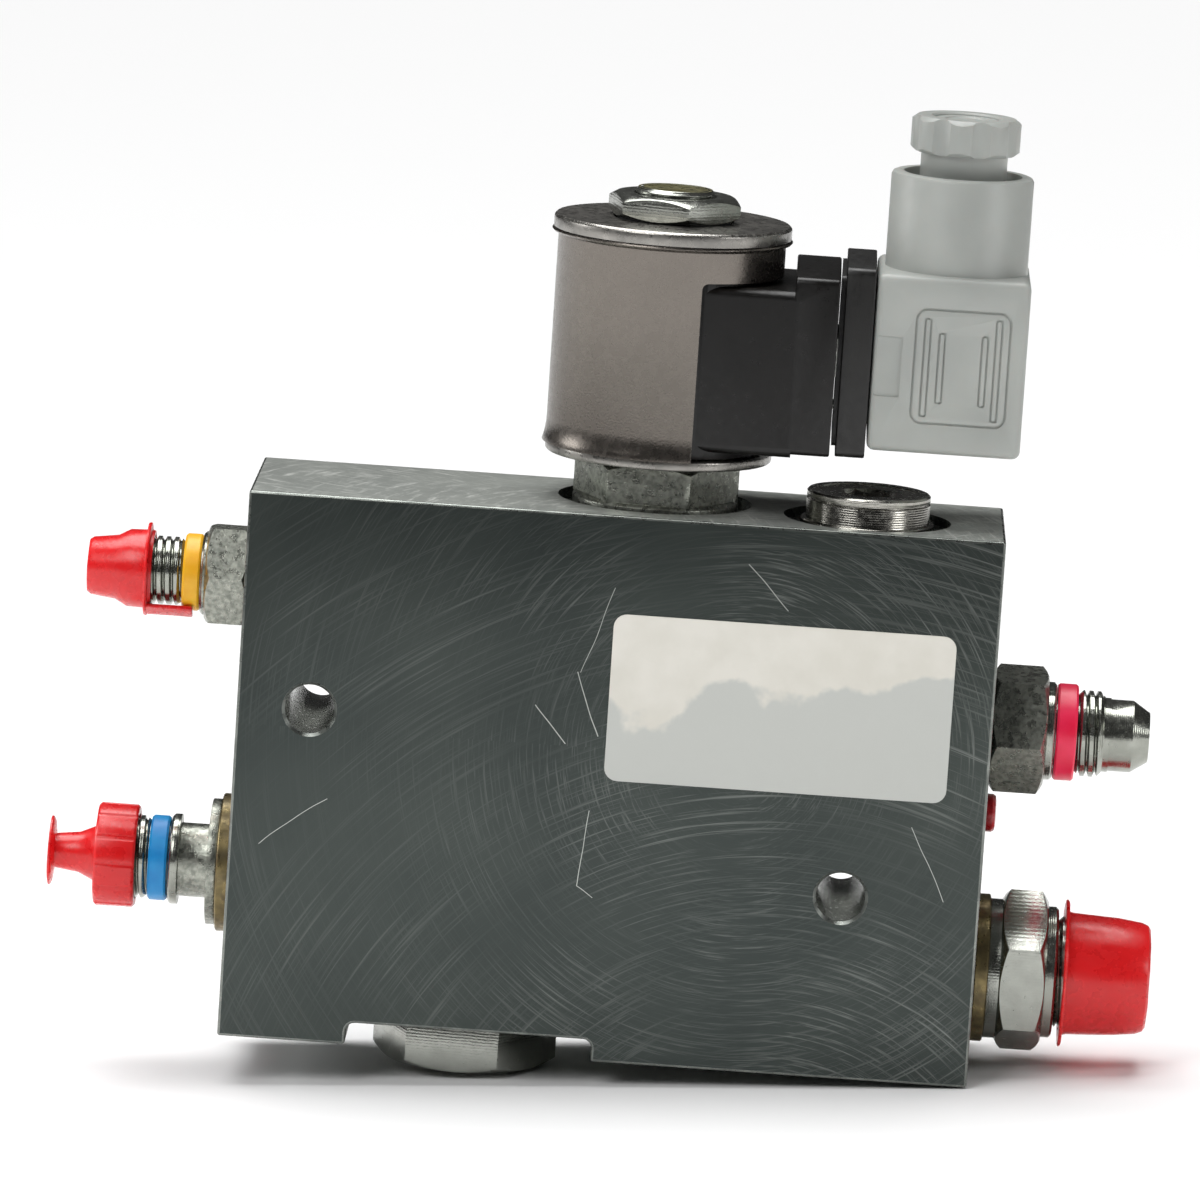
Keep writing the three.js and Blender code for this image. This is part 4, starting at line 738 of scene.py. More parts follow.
# Enamelled wire: orange-brown under a clear coat, with the turns as lines.
COPPER = Finish("enamelled_copper_wire", "A4562D", "BF6E3F", 1.0, 0.28, 0.06, 3, 0.3, 0.1, 0.6, 0.7, Way.Z,
                coat=0.3)
# Tinned contact blades: white metal.
TINNED = Finish("tinned_brass", "C9CAC6", "B1B2AD", 1.0, 0.22, 0.06, 3, 0.2, 0.08)
# Yellow-plated seal washers: brassy and dull.
BONDED = Finish("yellow_zinc_seal_ring", "8A7B55", "6C6148", 0.8, 0.34, 0.1, 2, 0.25, 0.2)
# Dust caps: saturated red that lets a little light through.
POLYTHENE = Finish("moulded_red_polyethylene", "EC2226", "E41B1F", 0.0, 0.28, 0.06, 22, 0.5, 0.22,
                   subsurface=0.35, transmission=0.12, ior=1.51)
# The side plug: red lacquer under gloss.
LACQUER = Finish("brushed_red_lacquer", "B21F26", "8E151C", 0.1, 0.3, 0.1, 2, 0.4, 0.3, coat=0.4)
# Identification bands: elastic plastic, even and satin.
YELLOW_BAND = Finish("yellow_elastic_band", "F4AE0C", "FBC32D", 0.0, 0.4, 0.05, 5, 0.4, 0.15, subsurface=0.1)
BLUE_BAND = Finish("blue_elastic_band", "0A84CB", "1C98DA", 0.0, 0.4, 0.05, 5, 0.4, 0.15, subsurface=0.1)
PINK_BAND = Finish("rose_elastic_band", "E4103F", "F02A55", 0.0, 0.38, 0.05, 5, 0.4, 0.15, subsurface=0.1)
# The label: cream stock, grey over its lower part.
LABEL = LabelGreyBelowFinish("label_stock_grey_below", "DDDAD0", "E4E1D8", 0.0, 0.5, 0.08, 6, 0.5, 0.12, ior=1.48)

_MADE: dict[str, bpy.types.Material] = {}


def material_of(finish: Finish) -> bpy.types.Material:
    """The material of a finish, built once."""
    if finish.name not in _MADE:
        _MADE[finish.name] = finish.make()
    return _MADE[finish.name]


Rule = Callable[[Vector, Vector], bool]


def dress(obj: Piece, finish: Finish, *others: tuple[Finish, Rule]) -> Piece:
    """Gives an object its finish, and other finishes to the faces that a rule picks.

    Args:
        obj: The object.
        finish: The finish of most faces.
        others: Pairs of a finish and a rule on a face's middle in mm and its normal.

    Returns:
        The same object.
    """
    obj.data.materials.clear()
    for one in (finish, *(pair[0] for pair in others)):
        obj.data.materials.append(material_of(one))
    for face in obj.data.polygons:
        face.material_index = 0
        for number, (_, rule) in enumerate(others, start=1):
            if rule(face.center / MM, face.normal):
                face.material_index = number
    return obj


def hand_over(obj: Piece, name: str, body: str, slot: str, *nodes: str) -> Piece:
    """Names a finished piece, smooths it and ties it to the frame.

    Args:
        obj: The piece.
        name: Its name.
        body: The CAD body it moves with.
        slot: The record's material slot; not used.
        nodes: The CAD nodes it stands for.

    Returns:
        The same piece.
    """
    hold(obj)
    bpy.ops.object.shade_smooth_by_angle(angle=SMOOTH_ANGLE)
    obj.name = obj.data.name = name
    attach(obj, body)
    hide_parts(*nodes)
    LOG.info("%s: %d faces on %s", name, len(obj.data.polygons), body)
    return obj


# ---------------------------------------------------------------- sub-assemblies
VALVE_AXIS = Matrix.Translation((centre("core_tube").x, centre("core_tube").y, 0))
CHECK_AXIS = Matrix.Translation((centre("check_cartridge_body").x, centre("check_cartridge_body").y, 0))


@dataclass
class ManifoldBlock:
    """The milled block with its slot, holes, spotfaces and ports."""

    edge: float = 0.45
    hole: float = 4.1
    hole_chamfer: float = 0.5
    slot_depth: float = 3.7
    slot_left: float = 21.3
    slot_width: float = 41.0
    slot_corner: float = 1.5
    valve_spot: tuple[float, float] = (16.2, 2.0)
    valve_bore: tuple[float, float] = (10.1, 50.0)
    check_spot: tuple[float, float] = (13.95, 1.5)
    check_bore: tuple[float, float] = (9.1, 38.0)
    plug_bore: tuple[float, float] = (10.5, 12.5)
    spot_reach: tuple[float, float, float] = (56.0, 18.4, 2.2)
    port_bores: dict[str, tuple[float, float]] = field(default_factory=lambda: {
        "upper_left_fitting": (4.95, 12.0), "lower_left_fitting": (8.4, 13.0),
        "upper_right_fitting": (6.6, 13.0), "lower_right_fitting": (10.5, 15.0), "side_plug": (2.5, 8.0)})

    def bore(self, radius: float, depth: float, spot: Optional[tuple[float, float]] = None) -> Piece:
        """A round-bottomed cutter for a bore that opens upwards at height 0, with its spotface."""
        profile = [(radius * 0.05, -depth - radius * 0.3), (radius, -depth)]
        profile += [(radius, -spot[1]), (spot[0], -spot[1]), (spot[0], 2)] if spot else [(radius, 2)]
        return turn(profile, ROUND)

    def build(self) -> None:
        """Cuts the block and hands it over."""
        lower, upper = low("manifold_block"), high("manifold_block")
        body = block(lower, upper)
        middle_y = (lower.y + upper.y) / 2
        start = lower.x + self.slot_left
        slot = block((start, lower.y - OVERRUN, lower.z - OVERRUN),
                     (start + self.slot_width, upper.y + OVERRUN, lower.z + self.slot_depth))
        combine(body, bevel_along(slot, 1, self.slot_corner))
        soften(body, self.edge, 3)
        for name in ("mounting_hole_left", "mounting_hole_right"):
            spot = opening(name)
            wide = self.hole + self.hole_chamfer + 1
            depth = upper.y - lower.y
            cutter = turn([(wide, -1), (self.hole, self.hole_chamfer),
                           (self.hole, depth - self.hole_chamfer), (wide, depth + 1)])
            turned = Matrix.Rotation(math.pi / 2, 4, "X")
            combine(body, place(cutter, Matrix.Translation((spot.x, upper.y, spot.z)) @ turned))
        tops = ((VALVE_AXIS, self.valve_bore, self.valve_spot),
                (CHECK_AXIS, self.check_bore, self.check_spot))
        for axis, bore, spot in tops:
            combine(body, place(self.bore(*bore, spot), Matrix.Translation((0, 0, upper.z)) @ axis))
        plug = centre("bottom_plug")
        under = Matrix.Translation((plug.x, plug.y,
                                    lower.z + self.slot_depth)) @ Matrix.Rotation(math.pi, 4, "X")
        combine(body, place(self.bore(*self.plug_bore), under))
        for node, (radius, depth) in self.port_bores.items():
            spot = centre(node)
            side = 1 if spot.x > 0 else -1
            face = upper.x if side > 0 else lower.x
            out = Matrix.Translation((face, spot.y, spot.z)) @ Matrix.Rotation(side * math.pi / 2, 4, "Y")
            combine(body, place(self.bore(radius, depth), out))
        reach_x, reach_y, reach_z = self.spot_reach
        dress(body, BORED,
              # Front faces: the plating's shaded copy, with a painted dark reflection.
              (BLOCK_FRONT_PAINTED_SHADE,
               lambda at, way: abs(way.y) > SQUARE_ON and (at.y < lower.y + SKIN or at.y > upper.y - SKIN)),
              # Top faces: the plating's lit copy, paler, with painted highlights on its arcs.
              (BLOCK_TOP_PAINTED_LIGHT, lambda at, way: way.z > SQUARE_ON and at.z > upper.z - SKIN),
              (SPOTFACE,
               lambda at, way: at.z > upper.z - reach_z and at.z < upper.z - SKIN
               and abs(at.x) < reach_x and abs(at.y - middle_y) < reach_y),
              (BLOCK_SIDE, lambda at, way: abs(way.x) > SQUARE_ON and abs(at.x) > upper.x - SKIN),
              (BLOCK_SIDE, lambda at, way: at.z < lower.z + self.slot_depth + 0.2 and abs(way.y) < 0.3),
              # Bevelled outer edges: a painted highlight line.
              (PAINTED_EDGE_HIGHLIGHT,
               lambda at, way: 0.1 < max(map(abs, way)) < SQUARE_ON and (
                   abs(at.x) > upper.x - self.edge or at.z > upper.z - self.edge
                   or at.y < lower.y + self.edge)))
        hand_over(body, "manifold_block_machined", "manifold", "block_zinc", "manifold_block")
        self.label()

    def label(self, corner: float = 2.2) -> None:
        """The blank label stuck to the front face."""
        lower, upper = low("front_label"), high("front_label")
        sheet = bevel_along(block(lower, upper), 1, corner, 6)
        dress(soften(sheet, 0.06, 1), LABEL)
        hand_over(sheet, "blank_front_label", "manifold", "label_paper", "front_label")


@dataclass
class CartridgeValve:
    """What the screw-in solenoid valve shows: foot, hexagon and the end of its core tube."""

    flats: float = 24.0
    corner: float = -5.0
    foot: float = 13.8
    foot_height: float = 2.6
    stem: tuple[tuple[float, float], ...] = ((5.8, 4.0), (6.4, 4.6), (6.4, 10.2), (7.4, 10.2), (7.4, 26.2),
                                             (8.6, 26.2), (8.6, 41.2))
    thread_root: float = 9.2
    thread_crest: float = 9.9
    pitch: float = 1.5
    bore: float = 7.8

    def build(self) -> None:
        """Builds the cartridge's body and its tube."""
        lower, upper = low("valve_cartridge_body").z, high("valve_cartridge_body").z
        foot_top = upper - 6.5
        foot = foot_top - self.foot_height
        stem = [(radius, lower + rise - 4.0) for radius, rise in self.stem]
        threaded = stem[-1][1]
        profile = stem + [(self.thread_root, threaded), (self.thread_root, foot), (self.foot - 0.4, foot),
                          (self.foot, foot + 0.4), (self.foot, foot_top - 0.5), (self.foot - 0.5, foot_top)]
        body = turn(profile, FINE)
        bar = hexagon(self.flats, self.corner, foot_top - 0.2, upper, (False, True))
        body = combine(body, bar, "UNION")
        body = combine(body, turn([(self.bore, upper - 11), (self.bore, upper + 2)]))
        body = join(soften(body, 0.18),
                    thread(self.thread_root, self.thread_crest, threaded, foot - 0.2, self.pitch))
        dress(place(body, VALVE_AXIS), FORGED_ZINC)
        hand_over(body, "valve_cartridge_hexagon", "manifold", "fitting_zinc", "valve_cartridge_body")
        self.tube()

    def tube(self, radius: float = 7.95, shank: float = 7.6, root: float = 6.15, crest: float = 6.6,
             stub: float = 5.4) -> None:
        """The core tube: sleeve, threaded stub and its coloured end."""
        lower, upper = low("core_tube").z, high("core_tube").z
        shoulder = upper - stub
        seat = high("valve_cartridge_body").z + 0.1
        inner = 6.5
        sleeve = turn([(inner, lower), (shank, lower), (shank, seat), (radius, seat), (radius, shoulder),
                       (root, shoulder), (root, upper - 0.7), (root - 0.7, upper)],
                      FINE)
        hollow = turn([(inner, lower - 1), (inner, shoulder - 0.4)])
        sleeve = soften(combine(sleeve, hollow), 0.15)
        dimple = turn([(0.2, upper - 0.5), (2.0, upper + 0.1), (2.0, upper + 1)])
        sleeve = join(combine(sleeve, dimple), thread(root, crest, shoulder + 0.2, upper, 1.0, 0.5))
        dress(place(sleeve, VALVE_AXIS), BRIGHT_ZINC,
              (YELLOW_ZINC, lambda at, way: way.z > 0.9 and at.z > upper - 0.8))
        hand_over(sleeve, "core_tube_sleeve", "manifold", "bright_zinc", "core_tube")


@dataclass
class SolenoidCoil:
    """The coil: plates, lipped can, black moulding with its plug head, and the nut above."""

    can: float = 18.95
    wall: float = 1.45
    foot_lip: tuple[float, float] = (0.6, 3.9)
    head_lip: tuple[float, float] = (1.1, 0.9)
    window: float = 5.7
    window_height: float = 29.8
    mould: tuple[float, float] = (14.95, 17.2)
    mould_room: float = 0.3
    neck_half: float = 16.0
    neck: tuple[float, float] = (3.1, 30.8)
    neck_reach: float = 21.0
    head: tuple[float, float] = (3.7, 33.3)
    reach: float = 28.4
    nut_flats: float = 20.0
    nut_corner: float = -17.0

    def steelwork(self) -> None:
        """The two plates and the can with its window."""
        lower, upper = low("coil_lower_plate").z, high("coil_lower_plate").z
        bore, rim = 8.15, 18.9
        plate = turn([(bore, lower), (rim - 0.3, lower), (rim, lower + 0.3), (rim, upper), (bore, upper)],
                     FINE, ring=True)
        dress(place(soften(plate, 0.12), VALVE_AXIS), COIL_PLATE)
        hand_over(plate, "coil_lower_washer", "coil", "bright_zinc", "coil_lower_plate")

        bottom, top = low("coil_can").z, high("coil_can").z
        inner = self.can - self.wall
        step = self.foot_lip[1] / 4
        flare = [(self.can + self.foot_lip[0] * (1 - i / 4) ** 2, bottom + i * step) for i in range(5)]
        crown = top - self.head_lip[1]
        shell = turn([(inner, bottom), *flare, (self.can, crown),
                      (self.can + self.head_lip[0] - 0.25, crown + 0.35),
                      (self.can + self.head_lip[0], top - 0.25), (self.can + self.head_lip[0] - 0.15, top),
                      (inner, top)],
                     FINE, ring=True)
        reach = self.can + 3
        window = block((self.window, -reach, bottom - 2), (reach, reach, bottom + self.window_height))
        shell = soften(combine(shell, bevel_along(window, 1, 1.0)), 0.1, 2, 50)
        centre_x = VALVE_AXIS.translation.x
        dress(place(shell, VALVE_AXIS), COIL_STEEL,
              (CUT_EDGE, lambda at, way: way.x > 0.9 and at.x < centre_x + self.window + 0.4))
        hand_over(shell, "coil_can_pressed", "coil", "coil_steel", "coil_can")

        lower, upper = low("coil_upper_plate").z, high("coil_upper_plate").z
        rim = 19.8
        profile = [(bore, lower), (rim, lower), (rim, upper - 0.45), (rim - 0.45, upper), (10.0, upper),
                   (10.0, upper - 1.2), (bore, upper - 1.2)]
        plate = turn(profile, FINE, ring=True)
        dress(place(soften(plate, 0.12), VALVE_AXIS), COIL_PLATE,
              (CUT_EDGE, lambda at, way: 0.3 < way.z < 0.9))
        hand_over(plate, "coil_upper_flange", "coil", "coil_steel", "coil_upper_plate")

    def moulding(self) -> None:
        """The black moulding: sleeve, neck and the head with its slots for the contact blades."""
        base = low("coil_lower_plate").z
        inner, outer = self.mould
        bottom = low("coil_can").z + self.mould_room
        top = high("coil_can").z - self.mould_room
        body = turn([(inner, bottom), (outer, bottom), (outer, top), (inner, top)], FINE, ring=True)
        neck = block((6.0, -self.neck_half, base + self.neck[0]),
                     (self.neck_reach + 1, self.neck_half, base + self.neck[1]))
        neck = bevel_along(neck, 0, 1.6, 5)
        neck = combine(neck, turn([(inner + 0.4, base), (inner + 0.4, base + 40)], FINE))
        head = block((self.neck_reach, -self.neck_half, base + self.head[0]),
                     (self.reach, self.neck_half, base + self.head[1]))
        head = soften(bevel_along(head, 0, 1.1, 4), 0.35, 3)
        body = combine(combine(body, neck, "UNION"), head, "UNION")
        for pin in ("terminal_pin_1", "terminal_pin_2", "earth_pin"):
            lower, upper = low(pin) - VALVE_AXIS.translation, high(pin) - VALVE_AXIS.translation
            gap = Vector((0.15, 0.15, 0.15))
            body = combine(body, block(lower - gap, upper + gap))
        screw = centre("connector_screw").z
        hole = turn([(1.65, self.reach - 8), (1.65, self.reach + 1)], SMALL)
        out = Matrix.Translation((0, 0, screw)) @ Matrix.Rotation(math.pi / 2, 4, "Y")
        body = combine(body, place(hole, out))
        dress(place(soften(body, 0.12, 2, 60), VALVE_AXIS), NYLON_BLACK)
        hand_over(body, "coil_moulding", "coil", "black_plastic", "coil_plug_moulding")

    def nut(self) -> None:
        """The hexagon nut that clamps the coil."""
        lower, upper = low("coil_nut").z, high("coil_nut").z
        bar = hexagon(self.nut_flats, self.nut_corner, lower, upper)
        bar = combine(bar, turn([(7.4, lower - 1), (6.7, lower + 0.6), (6.7, upper - 0.6), (7.4, upper + 1)]))
        dress(place(soften(bar, 0.12), VALVE_AXIS), BRIGHT_ZINC)
        hand_over(bar, "coil_clamp_nut", "coil_nut", "bright_zinc", "coil_nut")

    def build(self) -> None:
        """Builds every visible piece of the coil."""
        self.steelwork()
        self.moulding()
        self.nut()


@dataclass
class CableConnector:
    """The grey plug-on connector with its gasket, screw and gland."""

    corner: float = 1.3
    tower: float = 11.85
    recess: tuple[float, float] = (9.8, 3.0)
    grip: tuple[float, float] = (7.5, 12.0)
    cavity: tuple[float, float] = (15.6, 10.9)
    panel: tuple[float, float, float, float] = (45.1, 61.1, 63.6, 83.0)
    panel_rise: float = 0.35
    ribs: tuple[tuple[float, float, float], ...] = ((47.25, 64.8, 81.4), (49.7, 67.1, 79.1),
                                                    (56.8, 67.0, 79.0), (59.0, 64.6, 81.8))
    rib_width: float = 1.3
    plaque: tuple[float, float, float, float] = (39.0, 43.2, 67.8, 77.9)
    screw_hole: float = 3.2
    screw_head: float = 2.9
    roof_rise: float = 15.1
    lobes: int = 8
    lobe_corner: float = -96.0
    head: float = 9.35
    head_height: float = 6.0

    def gasket(self) -> None:
        """The black gasket: a slab with a smaller pad towards the coil."""
        lower, upper = low("connector_gasket"), high("connector_gasket")
        inset = 1.6
        slab = soften(bevel_along(block((lower.x + 0.7, lower.y, lower.z), upper), 0, 1.2, 4), 0.25, 3)
        pad_low = (lower.x, lower.y + inset, lower.z + inset)
        pad = bevel_along(block(pad_low, (lower.x + 1.4, upper.y - inset, upper.z - inset)), 0, 1.0)
        body = combine(slab, pad, "UNION")
        screw = centre("connector_screw").z
        half = 10.8
        y = centre("connector_gasket").y
        through = block((lower.x - 1, y - half, screw - half), (upper.x + 1, y + half, screw + half), 0.5)
        dress(combine(body, through), GASKET)
        hand_over(body, "connector_flat_gasket", "connector", "gasket_rubber", "connector_gasket")

    def housing(self) -> None:
        """The moulded housing: box, tower, cavity, raised panel with ribs and the sunk plaque."""
        lower, upper = low("connector_housing"), high("connector_housing")
        washer = centre("gland_washer")
        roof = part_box("connector_screw")[1].z / MM + self.roof_rise - self.screw_head
        shell = soften(block(lower, (upper.x, upper.y, roof)), self.corner, 4)
        tower_low = roof - 3
        tower = turn([(self.tower - 0.15, tower_low), (self.tower, tower_low + 2),
                      (self.tower, upper.z - 0.7), (self.tower - 0.25, upper.z - 0.2),
                      (self.tower - 0.7, upper.z)],
                     FINE)
        tower = place(tower, Matrix.Translation((washer.x, washer.y, 0)))
        shell = combine(shell, tower, "UNION")
        depth, half = self.cavity
        screw = centre("connector_screw")
        y = centre("connector_housing").y
        cave = block((lower.x - 1, y - half, screw.z - half), (lower.x + depth, y + half, screw.z + half),
                     0.4)
        shell = combine(shell, cave)
        recess, sink = self.recess
        radius, grip = self.grip
        way = [(4.8, screw.z + half - 1), (4.8, upper.z - grip), (radius, upper.z - grip),
               (radius, upper.z - sink), (recess - 0.3, upper.z - sink), (recess, upper.z - sink + 0.3),
               (recess, upper.z + 1)]
        shell = combine(shell, place(turn(way), Matrix.Translation((washer.x, washer.y, 0))))
        seat = low("connector_screw_o_ring").x
        shaft = turn([(1.65, lower.x - 1), (1.65, seat), (self.screw_hole, seat),
                      (self.screw_hole, upper.x + 1)],
                     SMALL)
        out = Matrix.Translation((0, screw.y, screw.z)) @ Matrix.Rotation(math.pi / 2, 4, "Y")
        shell = combine(shell, place(shaft, out))
        rise = self.panel_rise
        for y_face, side in ((lower.y, -1), (upper.y, 1)):
            shell = self.face_details(shell, y_face, side, rise)
        dress(soften(shell, 0.1, 2, 60), NYLON_GREY)
        hand_over(shell, "connector_hood", "connector", "grey_plastic", "connector_housing")

    def face_details(self, shell: Piece, face: float, side: int, rise: float) -> Piece:
        """Sinks the panel's outline, its bars and the plaque into one broad face.

        Args:
            shell: The housing.
            face: The face's Y in mm.
            side: Which way the face looks along Y.
            rise: Depth of the grooves in mm.

        Returns:
            The housing.
        """
        x0, x1, z0, z1 = self.panel
        inside, outside = sorted((face - side * rise, face + side * 2))
        frame_out = bevel_along(block((x0, inside, z0), (x1, outside, z1)), 1, 2.0, 6)
        wall = 0.45
        frame_in = bevel_along(
            block((x0 + wall, inside - 1, z0 + wall), (x1 - wall, outside + 1, z1 - wall)), 1, 1.6, 6)
        shell = combine(shell, combine(frame_out, frame_in))
        for x, bottom, top in self.ribs:
            bar = block((x - self.rib_width / 2, inside, bottom), (x + self.rib_width / 2, outside, top))
            inner = block((x - self.rib_width / 2 + 0.35, inside - 1, bottom + 0.35),
                          (x + self.rib_width / 2 - 0.35, outside + 1, top - 0.35))
            shell = combine(shell, combine(bevel_along(bar, 1, 0.5), bevel_along(inner, 1, 0.25)))
        x0, x1, z0, z1 = self.plaque
        return combine(shell, bevel_along(block((x0, inside, z0), (x1, outside, z1)), 1, 0.3))

    def gland(self) -> None:
        """The gland nut with its scalloped head, and the blanking disc in its mouth."""
        lower, upper = low("gland_nut"), high("gland_nut")
        axis = Matrix.Translation((centre("gland_washer").x, centre("gland_washer").y, 0))
        head_low = upper.z - self.head_height
        deselect()
        spot = (0, 0, (head_low + upper.z) / 2 * MM)
        spin = (0, 0, math.radians(self.lobe_corner - 90))
        bpy.ops.mesh.primitive_cylinder_add(vertices=self.lobes, radius=self.head * MM,
                                            depth=self.head_height * MM, location=spot, rotation=spin)
        bpy.ops.object.transform_apply(location=True, rotation=True, scale=True)
        head = bevel_along(bpy.context.object, 2, 1.1, 5)
        for number in range(self.lobes):
            angle = math.radians(self.lobe_corner + (number + 0.5) * 360 / self.lobes)
            flat = self.head * math.cos(math.pi / self.lobes)
            groove = turn([(2.6, head_low - 1), (2.6, upper.z + 1)], SMALL)
            reach = flat + 2.05
            head = combine(
                head,
                place(groove, Matrix.Translation((reach * math.cos(angle), reach * math.sin(angle), 0))))
        chamfer = turn([(self.head - 1.1, head_low), (self.head + 0.1, head_low + 1.0),
                        (self.head + 0.1, upper.z - 1.0), (self.head - 1.2, upper.z)],
                       FINE)
        head = combine(head, chamfer, "INTERSECT")
        shank = turn([(6.8, lower.z), (7.2, lower.z + 0.4), (7.2, head_low + 0.5)])
        body = combine(head, shank, "UNION")
        mouth = upper.z - 1.3
        body = combine(body,
                       turn([(4.6, lower.z - 1), (4.6, mouth), (5.6, mouth), (5.6, upper.z - 0.3),
                             (6.2, upper.z + 0.3)]))
        dress(place(soften(body, 0.15, 2, 35), axis), NYLON_GREY)
        hand_over(body, "gland_clamp_nut", "gland_nut", "grey_plastic", "gland_nut")
        lower, upper = low("gland_blanking_disc").z, high("gland_blanking_disc").z
        disc = turn([(5.1, lower), (5.4, lower + 0.25), (5.4, upper - 0.25), (5.1, upper), (3.6, upper),
                     (3.4, upper - 0.2)])
        dress(place(disc, axis), NYLON_GREY)
        hand_over(disc, "gland_dust_disc", "gland_nut", "grey_plastic", "gland_blanking_disc")

    def screw(self) -> None:
        """The long slotted screw."""
        lower, upper = low("connector_screw").x, high("connector_screw").x
        seat = upper - 2.4
        middle = centre("connector_screw")
        pin = turn([(1.0, lower), (1.2, lower + 0.3), (1.2, lower + 9), (1.4, lower + 9.4), (1.4, seat),
                    (2.9, seat), (2.9, upper - 0.5), (2.5, upper)],
                   SMALL)
        pin = combine(pin, block((-4, -0.4, upper - 1), (4, 0.4, upper + 1)))
        pin = join(soften(pin, 0.08), thread(1.2, 1.45, lower + 0.2, lower + 9, 0.5, 0.3))
        out = Matrix.Translation((0, middle.y, middle.z)) @ Matrix.Rotation(math.pi / 2, 4, "Y")
        dress(place(pin, out), TURNED_ZINC)
        hand_over(pin, "connector_fixing_screw", "connector_screw", "bright_zinc", "connector_screw")

    def build(self) -> None:
        """Builds the whole connector."""
        self.gasket()
        self.housing()
        self.gland()
        self.screw()


@dataclass
class CheckCartridge:
    """The round-headed check cartridge with its hexagon socket."""

    head: float = 10.3
    foot: float = 11.2
    socket: float = 8.0
    socket_depth: float = 5.5

    def build(self) -> None:
        """Builds the head, the foot and the stepped stem in one piece."""
        lower, upper = low("check_cartridge_body").z, high("check_cartridge_body").z
        foot_low, foot_top = upper - 6.0, upper - 4.8
        groove_top = upper - 1.1
        profile = [(6.2, lower), (6.8, lower + 0.6), (6.8, upper - 32.4), (7.8, upper - 32.4),
                   (7.8, upper - 17.4), (8.3, upper - 17.4), (8.3, foot_low), (self.foot - 0.3, foot_low),
                   (self.foot, foot_low + 0.3), (self.foot, foot_top - 0.2), (self.foot - 0.2, foot_top),
                   (self.head, foot_top), (self.head, groove_top - 0.5),
                   (self.head - 0.7, groove_top - 0.5), (self.head - 0.7, groove_top),
                   (self.head, groove_top), (self.head, upper - 0.3), (self.head - 0.3, upper),
                   (self.head - 1.8, upper), (self.head - 2.0, upper - 0.25)]
        body = turn(profile, FINE)
        key = hexagon(self.socket, 0, upper - self.socket_depth, upper + 1, (False, False))
        body = combine(body, key)
        body = combine(body, turn([(4.0, upper - 0.9), (5.2, upper + 0.3), (5.2, upper + 1)]))
        body = join(soften(body, 0.1, 2), thread(8.3, 8.9, upper - 17.2, foot_low - 0.2, 1.5))
        dress(place(body, CHECK_AXIS), GROUND_STEEL)
        hand_over(body, "check_cartridge_head", "manifold", "turned_steel", "check_cartridge_body")


@dataclass
class Stud:
    """The sizes of one hose fitting, outwards from the block, in mm."""

    node: str
    stem: tuple[float, float]
    flats: float
    corner: float
    hexagon: tuple[float, float]
    shoulder: tuple[float, float]
    neck: float
    thread: tuple[float, float, float]
    nose: tuple[tuple[float, float], ...]
    bore: float
    pitch: float
    finish: Finish
    slot: str
    collar: Optional[tuple[float, float, float]] = None
    band: Optional[tuple[str, float, float, float, Finish, str]] = None
    seal: Optional[tuple[str, float, float]] = None


